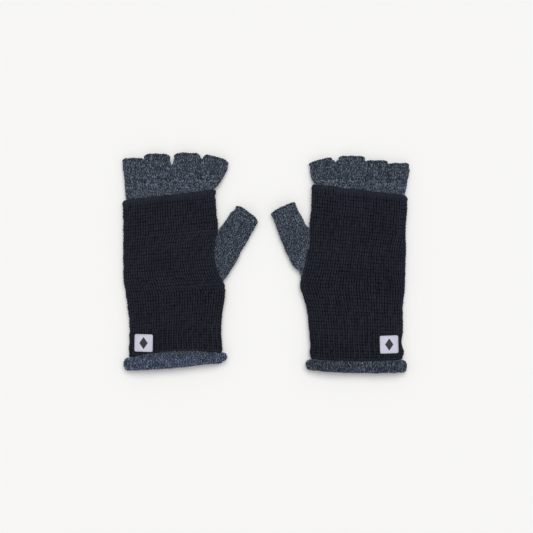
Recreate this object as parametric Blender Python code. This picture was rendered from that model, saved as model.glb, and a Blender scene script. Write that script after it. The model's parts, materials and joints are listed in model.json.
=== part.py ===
"""A pair of fingerless knitted gloves, each under a loose knitted sleeve, lying flat, backs up.

Lengths are in millimetres until a mesh is made. Each glove has its own plan, in which
"across" runs from the little finger (negative) to the thumb (positive) and "up" runs from
the wrist (negative) to the fingertips (positive). Plan points are (across, up) pairs.
The left glove's thumb points to +X and the right glove's thumb points to -X.
"""
import math
from collections import namedtuple

import bmesh
import bpy
from mathutils import Vector

METRES = 0.001
FRAME_SHIFT = (0.6, -0.417)  # puts the origin under the middle of the pair's outline

# Fabric and clearances
WALL = 2.0  # thickness of one knitted layer
GAP = 0.4  # space between pieces that touch on the real gloves
LAYER_GAP = 0.3  # space between the sleeve and the glove inside it
CAVITY = 7.0  # height of the space for the hand
FOLD_STEPS = 4  # flat facets along each half-round fold
SHARP_EDGE_DEG = 50  # edges bent further than this are shaded sharp

# Heights above the table
SLEEVE_LOW = 0.0
GLOVE_LOW = SLEEVE_LOW + WALL + LAYER_GAP
GLOVE_HIGH = GLOVE_LOW + 2 * WALL + CAVITY
SLEEVE_HIGH = GLOVE_HIGH + LAYER_GAP + WALL
TIP_LOW = 0.2  # fingertips droop until they nearly rest on the table
TIP_HIGH = 10.6
WRIST_LOW = 3.6  # the wrist is lifted by the roll of the cuff under it
WRIST_HIGH = 13.0

# Joints
KNUCKLE_UP = 75.0  # the line across the hand where the four finger stalls start
FINGER_LIFT_DEG = 22.0  # wedge left open behind the knuckles, a little more than the lift
THUMB_LIFT_DEG = 17.0
THUMB_CLEARANCE = 1.2  # how far outside the sleeve's edge the thumb's hinge line runs
GUSSET_DEPTH = 8.6  # from the hand to the thumb's hinge line

# Trims
TOP_HEM_WALL = 2.2
TIP_HEM_LENGTH = 2.4
TIP_HEM_BULGE = 0.5
OPENING_EDGE_RADIUS = 0.8
OPENING_EDGE_STEPS = 12
CUFF_STEPS = 6
CUFF_BULGE = 3.2
CUFF_HIGH = 17.2
CUFF_RIM = 1.0  # thickness of the rolled cuff at its two ends
WRIST_ROOM = 0.8  # from the inside of the cuff's fold to the outside of the wrist's
WRIST_REACH = 0.86  # how far the wrist runs through the cuff, as a share of the cuff
LABEL_SIZE = (16.7, 15.9)
LABEL_CORNER = 1.4
LABEL_THICK = 0.6
MOTIF_SIZE = (6.4, 9.2)
MOTIF_THICK = 0.4
THREAD_RADIUS = 0.25
THREAD_INSET = 1.1
THREAD_CORNER = 0.8

FINGERS = ("index", "middle", "ring", "little")

# Colours are linear RGB
SLEEVE_YARN = ((0.0137, 0.0157, 0.0212), 0.95)
GLOVE_YARN = ((0.0500, 0.0600, 0.0800), 0.95)
CUFF_YARN = ((0.0545, 0.0685, 0.1000), 0.95)
LABEL_CLOTH = ((0.658, 0.651, 0.768), 0.80)
MOTIF_CLOTH = ((0.055, 0.053, 0.053), 0.85)
THREAD = ((0.700, 0.690, 0.790), 0.60)

# A section is a flattened loop of fabric seen end on: its two plan edges, the heights of its
# underside and upper side, and how far its plane leans along the tube for each mm of height.
Section = namedtuple("Section", "little thumb low high lean", defaults=(0.0,))

Glove = namedtuple(
    "Glove",
    "name centre side sleeve_hem sleeve band cuff hand fingers thumb opening opening_depth label label_turn",
)

LEFT = Glove(
    name="left",
    centre=-86.4,
    side=1,
    sleeve_hem=[((-40.3, 56.2), (40.8, 66.2)), ((-41.6, 52.0), (40.4, 62.0))],
    sleeve=[
        ((-41.7, 51.6), (40.4, 61.6)),
        ((-42.3, 38.0), (41.6, 44.0)),
        ((-42.6, 25.0), (43.3, 31.0)),
        ((-42.8, 6.3), (46.4, 6.3)),
        ((-42.3, -15.0), (49.0, -15.0)),
        ((-40.5, -26.0), (49.5, -24.0)),
        ((-38.7, -40.0), (47.8, -40.0)),
        ((-37.4, -50.0), (46.3, -50.0)),
        ((-36.9, -61.0), (45.9, -61.0)),
    ],
    band=[
        ((-36.9, -61.4), (45.9, -61.4)),
        ((-37.8, -74.7), (46.8, -75.0)),
        ((-37.0, -84.6), (47.3, -80.3)),
    ],
    cuff=[((-37.0, -85.2), (47.0, -80.9)), ((-37.0, -97.2), (47.4, -88.2))],
    hand=[
        ((-41.9, 74.7), (46.1, 74.7)),
        ((-41.4, 64.8), (38.8, 71.0)),
        ((-37.6, 59.8), (38.0, 69.8)),
        ((-38.4, 50.0), (37.9, 60.0)),
        ((-39.8, 38.0), (39.0, 44.0)),
        ((-40.1, 25.0), (40.4, 31.0)),
        ((-40.2, 6.3), (43.6, 6.3)),
        ((-39.6, -15.0), (46.2, -15.0)),
        ((-37.9, -26.0), (46.6, -24.0)),
        ((-36.0, -40.0), (45.0, -40.0)),
        ((-34.6, -50.0), (43.6, -50.0)),
        ((-34.3, -61.0), (43.1, -61.0)),
        ((-34.3, -75.0), (43.4, -75.0)),
    ],
    fingers={
        "little": [((-42.0, 0), (-23.6, 0)), ((-43.0, 9), (-24.0, 9)), ((-43.4, 17), (-24.8, 17))],
        "ring": [((-23.0, 0), (0.4, 0)), ((-23.2, 10), (0.2, 10)), ((-22.6, 20.8), (-1.2, 20.8))],
        "middle": [((1.0, 0), (27.4, 0)), ((1.4, 10), (27.4, 10)), ((3.6, 21.6), (25.6, 21.6))],
        "index": [((28.0, 0), (46.2, 0)), ((28.4, 10), (51.0, 8.4)), ((30.4, 21.4), (51.2, 14.4))],
    },
    thumb=[
        ((47.8, 35.0), (57.0, -2.5)),
        ((51.0, 40.6), (63.0, 9.0)),
        ((54.6, 46.2), (70.4, 22.5)),
        ((57.4, 50.0), (77.8, 36.2)),
    ],
    opening=((43.6, 29.9), (49.5, -19.5)),
    opening_depth=7.0,
    label=(-23.8, -71.8),
    label_turn=1.0,
)

RIGHT = Glove(
    name="right",
    centre=81.5,
    side=-1,
    sleeve_hem=[((-43.9, 60.5), (39.3, 71.0)), ((-45.2, 56.5), (40.6, 66.8))],
    sleeve=[
        ((-45.3, 56.1), (40.7, 66.4)),
        ((-45.0, 44.0), (41.2, 50.0)),
        ((-43.8, 30.0), (43.2, 32.0)),
        ((-43.7, 8.0), (47.6, 8.0)),
        ((-43.0, -14.0), (51.7, -14.0)),
        ((-42.8, -21.0), (51.8, -21.0)),
        ((-42.3, -30.0), (48.8, -30.0)),
        ((-41.2, -42.0), (45.8, -41.0)),
        ((-41.6, -52.0), (44.5, -50.0)),
        ((-41.4, -63.0), (43.5, -62.0)),
    ],
    band=[
        ((-41.4, -63.4), (43.5, -62.4)),
        ((-40.2, -72.0), (42.0, -72.0)),
        ((-42.6, -80.0), (42.8, -80.0)),
        ((-40.6, -86.5), (41.9, -86.2)),
    ],
    cuff=[((-40.6, -87.1), (42.0, -86.8)), ((-41.4, -98.6), (41.6, -96.4))],
    hand=[
        ((-46.4, 74.7), (36.8, 74.7)),
        ((-41.4, 64.2), (36.6, 74.2)),
        ((-42.4, 54.0), (37.6, 64.0)),
        ((-42.0, 44.0), (38.4, 50.0)),
        ((-41.1, 30.0), (40.0, 32.0)),
        ((-41.1, 8.0), (44.0, 8.0)),
        ((-40.3, -14.0), (48.0, -14.0)),
        ((-39.9, -21.0), (47.4, -21.0)),
        ((-39.3, -30.0), (44.6, -30.0)),
        ((-38.3, -42.0), (42.2, -41.0)),
        ((-38.5, -52.0), (41.3, -50.0)),
        ((-38.1, -63.0), (40.4, -62.0)),
        ((-37.3, -72.0), (39.2, -72.0)),
        ((-37.6, -80.0), (39.2, -80.0)),
    ],
    fingers={
        "little": [((-46.6, 0), (-29.0, 0)), ((-47.6, 7), (-28.4, 7)), ((-46.6, 12.4), (-27.9, 12.4))],
        "ring": [((-28.4, 0), (-6.9, 0)), ((-27.8, 8), (-7.2, 8)), ((-26.4, 14.8), (-7.9, 14.8))],
        "middle": [((-6.3, 0), (17.4, 0)), ((-6.3, 10), (16.8, 10)), ((-5.4, 18.8), (16.0, 18.8))],
        "index": [((18.0, 0), (40.0, 0)), ((18.6, 9), (42.4, 8)), ((22.2, 18.6), (42.2, 12.2))],
    },
    thumb=[
        ((48.2, 38.0), (59.4, 0.0)),
        ((50.6, 43.0), (64.0, 10.4)),
        ((53.2, 48.0), (70.2, 26.0)),
        ((55.8, 52.4), (76.2, 42.4)),
    ],
    opening=((43.5, 30.4), (52.2, -16.6)),
    opening_depth=7.0,
    label=(-28.5, -73.1),
    label_turn=2.0,
)


# ---------------------------------------------------------------- plan geometry


def place(glove, point, height):
    """A plan point and a height as a world position in metres."""
    across, up = point
    x = glove.centre + glove.side * across + FRAME_SHIFT[0]
    y = up + FRAME_SHIFT[1]
    return Vector((x, y, height)) * METRES


def toward(start, end, distance):
    """The plan point at a distance from start on the way to end."""
    run = Vector(end) - Vector(start)
    return tuple(Vector(start) + run.normalized() * distance)


def between(first, second, share):
    """The plan point at a share of the way from first to second."""
    return tuple(Vector(first).lerp(Vector(second), share))


def forward(section):
    """The plan direction a section faces, square to the line between its edges."""
    edge = (Vector(section.thumb) - Vector(section.little)).normalized()
    return Vector((-edge.y, edge.x))


def inset(section, wall):
    """The section a wall's thickness inside another one, in the same leaning plane."""
    leaned = forward(section) * section.lean * wall
    little = Vector(toward(section.little, section.thumb, wall)) + leaned
    thumb = Vector(toward(section.thumb, section.little, wall)) + leaned
    return Section(tuple(little), tuple(thumb), section.low + wall, section.high - wall, section.lean)


def loop_points(section):
    """Plan points and heights round a section: two level runs joined by half-round folds."""
    radius = (section.high - section.low) / 2
    middle = section.low + radius
    little, thumb = Vector(section.little), Vector(section.thumb)
    edge = (thumb - little).normalized()
    lean_direction = forward(section)
    points = []
    for centre, start in ((thumb - edge * radius, -90), (little + edge * radius, 90)):
        for step in range(FOLD_STEPS + 1):
            angle = math.radians(start + 180 * step / FOLD_STEPS)
            height = middle + radius * math.sin(angle)
            plan = centre + edge * radius * math.cos(angle)
            plan += lean_direction * section.lean * (height - section.low)
            points.append((tuple(plan), height))
    return points


# ---------------------------------------------------------------- objects


def clear_scene():
    """Remove whatever objects the file opened with."""
    for old in list(bpy.data.objects):
        bpy.data.objects.remove(old, do_unlink=True)


def yarn_material(name, finish):
    """A plain cloth material."""
    colour, roughness = finish
    material = bpy.data.materials.new(name)
    material.use_nodes = True
    shader = material.node_tree.nodes["Principled BSDF"]
    shader.inputs["Base Color"].default_value = (*colour, 1.0)
    shader.inputs["Roughness"].default_value = roughness
    shader.inputs["Metallic"].default_value = 0.0
    return material


def add_pivot(name, position, parent=None):
    """An empty on a joint's axis, at a world position in metres."""
    pivot = bpy.data.objects.new(name, None)
    pivot.empty_display_size = 0.01
    bpy.context.collection.objects.link(pivot)
    pivot["world_position"] = tuple(position)
    pivot.location = position
    if parent is not None:
        pivot.parent = parent
        pivot.location = Vector(position) - Vector(parent["world_position"])
    return pivot


def add_object(name, data, pivot, finish):
    """Link mesh or curve data as one named piece under its pivot."""
    piece = bpy.data.objects.new(name, data)
    bpy.context.collection.objects.link(piece)
    piece.parent = pivot
    if finish is not None:
        data.materials.append(yarn_material(name, finish))
    return piece


def mesh_piece(name, shape, pivot, finish):
    """Turn a bmesh in world metres into a piece whose origin is its pivot."""
    bmesh.ops.recalc_face_normals(shape, faces=shape.faces)
    bmesh.ops.translate(shape, verts=shape.verts, vec=-Vector(pivot["world_position"]))
    data = bpy.data.meshes.new(name)
    shape.to_mesh(data)
    shape.free()
    data.shade_smooth()
    data.set_sharp_from_angle(angle=math.radians(SHARP_EDGE_DEG))
    return add_object(name, data, pivot, finish)


def tube(name, glove, outer, inner, pivot, finish):
    """An open-ended fabric tube between two rows of sections, outside and inside."""
    shape = bmesh.new()
    skins = []
    for sections in (outer, inner):
        rings = []
        for section in sections:
            corners = [place(glove, plan, height) for plan, height in loop_points(section)]
            rings.append([shape.verts.new(corner) for corner in corners])
        skins.append(rings)
    for rings in skins:
        for first, second in zip(rings, rings[1:]):
            join_rings(shape, first, second)
    outside, inside = skins
    for end in (0, -1):
        join_rings(shape, outside[end], inside[end])
    return mesh_piece(name, shape, pivot, finish)


def join_rings(shape, first, second):
    """Faces between two rings with the same number of corners."""
    count = len(first)
    for here in range(count):
        after = (here + 1) % count
        shape.faces.new((first[here], first[after], second[after], second[here]))


def slab(name, glove, outline, low, high, pivot, finish):
    """An upright block over a plan outline."""
    shape = bmesh.new()
    base = [shape.verts.new(place(glove, point, low)) for point in outline]
    roof = [shape.verts.new(place(glove, point, high)) for point in outline]
    join_rings(shape, base, roof)
    shape.faces.new(base)
    shape.faces.new(roof)
    return mesh_piece(name, shape, pivot, finish)


def cord(name, points, radius, sides, pivot, finish):
    """A closed loop of cord through world points."""
    data = bpy.data.curves.new(name, "CURVE")
    data.dimensions = "3D"
    data.bevel_depth = radius * METRES
    data.bevel_resolution = sides
    line = data.splines.new("POLY")
    line.points.add(len(points) - 1)
    line.use_cyclic_u = True
    for knot, point in zip(line.points, points):
        knot.co = (*(point - Vector(pivot["world_position"])), 1.0)
    return add_object(name, data, pivot, finish)


def cut(piece, cutter):
    """Take a cutter's shape out of a piece."""
    cutter.hide_render = True
    cutter.display_type = "WIRE"
    modifier = piece.modifiers.new("Opening", "BOOLEAN")
    modifier.operation = "DIFFERENCE"
    modifier.solver = "EXACT"
    modifier.object = cutter


# ---------------------------------------------------------------- the knitted glove


def hinge_line(glove):
    """The thumb's hinge line on the plan, from the crotch end to the wrist end."""
    crotch, wrist = glove.opening
    outward = forward(Section(wrist, crotch, 0, 0)) * -THUMB_CLEARANCE
    return tuple(Vector(crotch) + outward), tuple(Vector(wrist) + outward)


def thumb_base(glove, outboard):
    """The thumb tube's two plan edges near its hinge line, at a distance outboard of it."""
    crotch, wrist = hinge_line(glove)
    crotch_end_clearance = 5.2
    wrist_end_clearance = 8.6
    outward = forward(Section(wrist, crotch, 0, 0)) * -outboard
    first = Vector(toward(crotch, wrist, crotch_end_clearance)) + outward
    second = Vector(toward(wrist, crotch, wrist_end_clearance)) + outward
    return tuple(first), tuple(second)


def add_hand(glove, pivot):
    """The hand and wrist of the inner glove, with a notch where the thumb joins."""
    name = f"{glove.name}_hand_body"
    outer = [Section(little, thumb, GLOVE_LOW, GLOVE_HIGH) for little, thumb in glove.hand]
    inner = [inset(section, WALL) for section in outer]
    cuff_top, cuff_end = glove.cuff
    side_room = WALL + WRIST_ROOM
    for share in (0.0, WRIST_REACH):
        little = between(cuff_top[0], cuff_end[0], share)
        thumb = between(cuff_top[1], cuff_end[1], share)
        wrist = Section(
            toward(little, thumb, side_room), toward(thumb, little, side_room), WRIST_LOW, WRIST_HIGH
        )
        outer.append(wrist)
        inner.append(inset(wrist, WALL))
    hand = tube(name, glove, outer, inner, pivot, GLOVE_YARN)
    notch_inner = thumb_base(glove, -GUSSET_DEPTH - GAP)
    notch_outer = thumb_base(glove, GUSSET_DEPTH)
    crotch_side = [toward(*line, -GAP) for line in (notch_inner, notch_outer)]
    wrist_side = [toward(line[1], line[0], -GAP) for line in (notch_inner, notch_outer)]
    outline = [crotch_side[0], crotch_side[1], wrist_side[1], wrist_side[0]]
    notch = slab(f"{name}_notch", glove, outline, SLEEVE_LOW, SLEEVE_HIGH, pivot, None)
    cut(hand, notch)


def add_gusset(glove, pivot):
    """The root of the thumb tube, between the hand and the thumb's hinge line."""
    lines = (thumb_base(glove, -GUSSET_DEPTH), thumb_base(glove, -GAP))
    outer = [Section(wrist, crotch, GLOVE_LOW, GLOVE_HIGH) for crotch, wrist in lines]
    inner = [inset(section, WALL) for section in outer]
    tube(f"{glove.name}_thumb_gusset", glove, outer, inner, pivot, GLOVE_YARN)


def drooping(start, lines, lean):
    """Sections from the hand's height at the base line down to the table at the last line."""
    sections = [Section(*start, GLOVE_LOW, GLOVE_HIGH, lean)]
    for number, line in enumerate(lines, start=1):
        share = number / len(lines)
        low = GLOVE_LOW + (TIP_LOW - GLOVE_LOW) * share
        high = GLOVE_HIGH + (TIP_HIGH - GLOVE_HIGH) * share
        sections.append(Section(*line, low, high))
    return sections


def shifted(line, direction, distance):
    """A line of two plan edges moved along a plan direction."""
    return tuple(tuple(Vector(point) + direction * distance) for point in line)


def add_stall(glove, name, sections, pivot):
    """A short open finger or thumb tube and the bound-off hem round its end."""
    tip = sections[-1]
    inner = [inset(section, WALL) for section in sections]
    tube(f"{glove.name}_{name}_stall", glove, sections, inner, pivot, GLOVE_YARN)
    direction = forward(tip)
    edges = (tip.little, tip.thumb)
    hem_outer = []
    hem_inner = []
    for share, bulge in ((0.0, 0.0), (0.5, TIP_HEM_BULGE), (1.0, -TIP_HEM_BULGE)):
        line = shifted(edges, direction, GAP + TIP_HEM_LENGTH * share)
        section = Section(*line, tip.low, tip.high)
        hem_inner.append(inset(section, WALL))
        wider = (toward(line[0], line[1], -bulge), toward(line[1], line[0], -bulge))
        low = max(tip.low - bulge, TIP_LOW / 2)
        hem_outer.append(Section(*wider, low, tip.high + bulge))
    tube(f"{glove.name}_{name}_hem", glove, hem_outer, hem_inner, pivot, GLOVE_YARN)


def add_finger(glove, finger, hand_pivot):
    """One finger stall on its own knuckle pivot."""
    lines = []
    for little, thumb in glove.fingers[finger]:
        lines.append(((little[0], KNUCKLE_UP + little[1]), (thumb[0], KNUCKLE_UP + thumb[1])))
    base = shifted(lines[0], Vector((0.0, 1.0)), LAYER_GAP)
    lean = math.tan(math.radians(FINGER_LIFT_DEG))
    knuckle = place(glove, between(*lines[0], 0.5), GLOVE_LOW)
    pivot = add_pivot(f"{glove.name}_{finger}_knuckle", knuckle, hand_pivot)
    add_stall(glove, finger, drooping(base, lines[1:], lean), pivot)


def add_thumb(glove, hand_pivot):
    """The thumb stall, hinged along the line where it leaves the sleeve."""
    crotch, wrist = thumb_base(glove, LAYER_GAP)
    lines = [(outer, inner) for inner, outer in glove.thumb]
    lean = math.tan(math.radians(THUMB_LIFT_DEG))
    sections = drooping((wrist, crotch), lines, -lean)
    hinge = place(glove, between(*hinge_line(glove), 0.5), GLOVE_LOW)
    pivot = add_pivot(f"{glove.name}_thumb_root", hinge, hand_pivot)
    flipped = [Section(s.thumb, s.little, s.low, s.high, -s.lean) for s in sections]
    add_stall(glove, "thumb", flipped, pivot)


def add_cuff(glove, hand_pivot):
    """The wrist's edge, rolled outward into a ring that rides on the wrist."""
    top, end = glove.cuff
    middle = between(between(*top, 0.5), between(*end, 0.5), 0.5)
    pivot = add_pivot(f"{glove.name}_cuff_slide", place(glove, middle, 0.0), hand_pivot)
    outer = []
    inner = []
    hole_inset = WALL + LAYER_GAP
    for step in range(CUFF_STEPS + 1):
        share = step / CUFF_STEPS
        round_off = math.sqrt(max(0.0, 1.0 - (2 * share - 1) ** 2))
        little = between(top[0], end[0], share)
        thumb = between(top[1], end[1], share)
        hole = Section(
            toward(little, thumb, hole_inset),
            toward(thumb, little, hole_inset),
            WRIST_LOW - GAP,
            WRIST_HIGH + GAP,
        )
        inner.append(hole)
        side = CUFF_RIM + (CUFF_BULGE + hole_inset - CUFF_RIM) * round_off
        low = (hole.low - CUFF_RIM) * (1.0 - round_off)
        high = hole.high + CUFF_RIM + (CUFF_HIGH - hole.high - CUFF_RIM) * round_off
        outer.append(
            Section(toward(hole.little, thumb, -side), toward(hole.thumb, little, -side), low, high)
        )
    tube(f"{glove.name}_rolled_cuff", glove, outer, inner, pivot, CUFF_YARN)


# ---------------------------------------------------------------- the outer sleeve


def sleeve_sections(lines):
    """Sections of the sleeve at its full height."""
    return [Section(little, thumb, SLEEVE_LOW, SLEEVE_HIGH) for little, thumb in lines]


def opening_point(glove, share, extra):
    """A plan point on the thumb opening's bow-shaped edge, a share of the way along it."""
    crotch, wrist = glove.opening
    inboard = forward(Section(wrist, crotch, 0, 0))
    start = Vector(crotch) + inboard * WALL / 2
    end = Vector(wrist) + inboard * WALL / 2
    bow = 4 * glove.opening_depth * share * (1 - share)
    return tuple(start.lerp(end, share) + inboard * (bow + extra)), bow


def add_sleeve(glove, hand_pivot):
    """The sleeve's pieces: the body, its thumb opening, the top hem and the ribbed band."""
    pivot = add_pivot(f"{glove.name}_sleeve_slide", place(glove, (0, 0), 0.0), hand_pivot)
    body_outer = sleeve_sections(glove.sleeve)
    body_inner = [inset(section, WALL) for section in body_outer]
    name = f"{glove.name}_sleeve_body"
    body = tube(name, glove, body_outer, body_inner, pivot, SLEEVE_YARN)
    cut(body, opening_cutter(glove, name, pivot))
    add_opening_edge(glove, pivot)

    band_outer = sleeve_sections(glove.band)
    band_inner = [inset(section, WALL) for section in band_outer]
    tube(f"{glove.name}_sleeve_rib_band", glove, band_outer, band_inner, pivot, SLEEVE_YARN)

    hem_outer = sleeve_sections(glove.sleeve_hem)
    hem_inner = [inset(section, WALL) for section in hem_outer]
    tube(f"{glove.name}_sleeve_top_hem", glove, hem_outer, hem_inner, pivot, SLEEVE_YARN)
    return pivot


def opening_cutter(glove, name, pivot):
    """The shape taken out of the sleeve's folded edge for the thumb."""
    facet_room = 0.25  # the bound edge's facets stand outside the curve they follow
    edge_room = OPENING_EDGE_RADIUS + LAYER_GAP + facet_room
    overrun = 0.14  # how far the cut runs on past both ends, as a share of the opening
    outline = []
    for step in range(OPENING_EDGE_STEPS + 1):
        share = -overrun + (1 + 2 * overrun) * step / OPENING_EDGE_STEPS
        outline.append(opening_point(glove, share, edge_room)[0])
    outboard = -30.0
    spare = 5.0  # above and below the sleeve
    outline.append(opening_point(glove, 1 + overrun, outboard)[0])
    outline.append(opening_point(glove, -overrun, outboard)[0])
    return slab(f"{name}_opening", glove, outline, SLEEVE_LOW - spare, SLEEVE_HIGH + spare, pivot, None)


def add_opening_edge(glove, pivot):
    """The bound edge of the thumb opening, one loop over both layers of the sleeve."""
    radius = (SLEEVE_HIGH - SLEEVE_LOW - WALL) / 2
    middle = (SLEEVE_HIGH + SLEEVE_LOW) / 2
    points = []
    for layer in (1, -1):
        for step in range(OPENING_EDGE_STEPS):
            travel = math.pi * step / OPENING_EDGE_STEPS
            share = (1 - math.cos(travel)) / 2
            if layer < 0:
                share = 1 - share
            plan, bow = opening_point(glove, share, 0.0)
            lift = math.sqrt(max(0.0, radius**2 - max(0.0, radius - bow) ** 2))
            points.append(place(glove, plan, middle + layer * lift))
    name = f"{glove.name}_thumb_opening_edge"
    cord(name, points, OPENING_EDGE_RADIUS, 1, pivot, SLEEVE_YARN)


# ---------------------------------------------------------------- the label


def label_plan(glove, point):
    """A point of the label's own plan, turned and moved to its place on the glove."""
    turn = math.radians(glove.label_turn)
    x, y = point
    across = glove.label[0] + x * math.cos(turn) - y * math.sin(turn)
    up = glove.label[1] + x * math.sin(turn) + y * math.cos(turn)
    return across, up


def rounded_rectangle(width, height, corner, steps):
    """Plan outline of a rectangle with rounded corners, about its own centre."""
    outline = []
    for quarter in range(4):
        x_sign = (1, -1, -1, 1)[quarter]
        y_sign = (1, 1, -1, -1)[quarter]
        for step in range(steps + 1):
            angle = math.radians(90 * (quarter + step / steps))
            x = x_sign * (width / 2 - corner) + corner * math.cos(angle)
            y = y_sign * (height / 2 - corner) + corner * math.sin(angle)
            outline.append((x, y))
    return outline


def add_label(glove, pivot):
    """A woven label with a plain diamond on it, sewn to the band by one thread."""
    low = SLEEVE_HIGH + LAYER_GAP
    high = low + LABEL_THICK
    width, height = LABEL_SIZE
    border = rounded_rectangle(width, height, LABEL_CORNER, 3)
    outline = [label_plan(glove, point) for point in border]
    slab(f"{glove.name}_woven_label", glove, outline, low, high, pivot, LABEL_CLOTH)

    half_width, half_height = MOTIF_SIZE[0] / 2, MOTIF_SIZE[1] / 2
    diamond = ((half_width, 0), (0, half_height), (-half_width, 0), (0, -half_height))
    outline = [label_plan(glove, point) for point in diamond]
    low = high + LAYER_GAP
    slab(f"{glove.name}_label_motif", glove, outline, low, low + MOTIF_THICK, pivot, MOTIF_CLOTH)

    sewn = rounded_rectangle(
        width - 2 * THREAD_INSET, height - 2 * THREAD_INSET, THREAD_CORNER, 2
    )
    level = high + LAYER_GAP + THREAD_RADIUS
    points = [place(glove, label_plan(glove, point), level) for point in sewn]
    cord(f"{glove.name}_label_stitching", points, THREAD_RADIUS, 1, pivot, THREAD)


def add_glove(glove, pair_pivot):
    """One glove with its sleeve."""
    hand_pivot = add_pivot(f"{glove.name}_glove", place(glove, (0, 0), 0.0), pair_pivot)
    add_hand(glove, hand_pivot)
    add_gusset(glove, hand_pivot)
    for finger in FINGERS:
        add_finger(glove, finger, hand_pivot)
    add_thumb(glove, hand_pivot)
    add_cuff(glove, hand_pivot)
    sleeve_pivot = add_sleeve(glove, hand_pivot)
    add_label(glove, sleeve_pivot)


clear_scene()
pair = add_pivot("pair", (0.0, 0.0, 0.0))
for one in (LEFT, RIGHT):
    add_glove(one, pair)
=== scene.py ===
"""A pair of fingerless knitted gloves under loose knitted sleeves, knitted stitch by stitch.

Every knitted piece is a sheet of fabric, a smooth surface read from the CAD frame, and the
yarn that runs over it in courses (rows) and wales (columns). Glove plans are in millimetres:
"across" grows from the little finger to the thumb and "up" from the wrist to the fingertips.
"""

import json
import math
from collections import namedtuple

import bpy
import numpy as np
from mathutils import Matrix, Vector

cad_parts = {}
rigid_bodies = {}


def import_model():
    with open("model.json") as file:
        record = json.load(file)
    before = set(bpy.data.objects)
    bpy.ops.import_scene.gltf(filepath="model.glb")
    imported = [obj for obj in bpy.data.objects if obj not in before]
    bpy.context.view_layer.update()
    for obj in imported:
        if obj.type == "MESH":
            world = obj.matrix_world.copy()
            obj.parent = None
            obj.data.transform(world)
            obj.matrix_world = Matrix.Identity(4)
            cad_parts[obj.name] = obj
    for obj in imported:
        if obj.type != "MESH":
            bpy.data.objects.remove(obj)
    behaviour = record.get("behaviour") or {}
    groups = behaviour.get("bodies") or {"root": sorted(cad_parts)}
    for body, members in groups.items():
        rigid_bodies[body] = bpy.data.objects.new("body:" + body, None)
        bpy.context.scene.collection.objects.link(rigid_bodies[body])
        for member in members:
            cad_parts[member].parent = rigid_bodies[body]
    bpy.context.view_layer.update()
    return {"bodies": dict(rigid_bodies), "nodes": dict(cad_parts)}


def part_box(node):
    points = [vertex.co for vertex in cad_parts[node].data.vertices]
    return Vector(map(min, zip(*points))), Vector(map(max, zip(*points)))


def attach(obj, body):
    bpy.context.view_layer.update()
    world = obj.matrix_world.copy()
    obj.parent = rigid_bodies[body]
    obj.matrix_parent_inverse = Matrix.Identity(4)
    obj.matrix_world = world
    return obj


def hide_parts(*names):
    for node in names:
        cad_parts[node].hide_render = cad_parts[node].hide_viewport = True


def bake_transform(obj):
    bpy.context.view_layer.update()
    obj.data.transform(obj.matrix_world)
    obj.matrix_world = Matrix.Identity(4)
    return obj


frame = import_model()

METRES = 0.001
FINGERS = ("little", "ring", "middle", "index")

# A knit: stitch width and height, yarn radius, how far a loop's legs swing sideways and draw
# together (shares of a wale), how high it reaches (share of a course) and how deep it weaves.
Knit = namedtuple("Knit", "wale course radius swing pull reach depth")
SLEEVE_KNIT = Knit(2.45, 3.0, radius=0.44, swing=0.14, pull=0.07, reach=0.66, depth=0.5)
GLOVE_KNIT = Knit(2.35, 2.9, radius=0.48, swing=0.17, pull=0.03, reach=0.72, depth=0.45)
RIB_DEPTH = 0.10  # how far a rib stands in front of or behind the middle of the band
RIB_RELIEF = 0.22  # how much shallower the stitches are between the ribs

YARN_SIDES = 5
YARN_STEPS = 12  # straight bits of yarn in one stitch
FABRIC_HALF = 1.12  # from the middle of a layer to the outside of its yarn
PROUD = 0.6  # how far the yarn stands out past the CAD outline at the folded sides
LINER = 0.35  # half the thickness of the backing sheet inside each layer
HAIRLINE = 0.12  # gap left in a closed sheet along its thumb-side fold

RNG_SEED = 11


# ---------------------------------------------------------------- reading the frame


class Glove:
    """One glove's plan: where it lies, which way its thumb points, and its CAD outlines."""

    def __init__(self, name, side):
        self.name = name
        self.side = side
        low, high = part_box(f"{name}_sleeve_body")
        self.centre = (low[0] + high[0]) / 2

    def plan(self, points):
        """World metres to this glove's across, up and height in millimetres."""
        points = np.asarray(points, float)
        across = self.side * (points[..., 0] - self.centre)
        return np.stack([across, points[..., 1], points[..., 2]], axis=-1) / METRES

    def world(self, points):
        """This glove's across, up and height in millimetres to world metres."""
        points = np.asarray(points, float) * METRES
        x = self.centre + self.side * points[..., 0]
        return np.stack([x, points[..., 1], points[..., 2]], axis=-1)

    def edges_of(self, *nodes):
        """The CAD edges of some nodes as pairs of plan points."""
        pairs = []
        for node in nodes:
            data = frame["nodes"][f"{self.name}_{node}"].data
            corners = np.empty(len(data.vertices) * 3)
            data.vertices.foreach_get("co", corners)
            corners = self.plan(corners.reshape(-1, 3))
            ends = np.empty(len(data.edges) * 2, int)
            data.edges.foreach_get("vertices", ends)
            pairs.append(corners[ends.reshape(-1, 2)])
        return np.concatenate(pairs)


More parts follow.
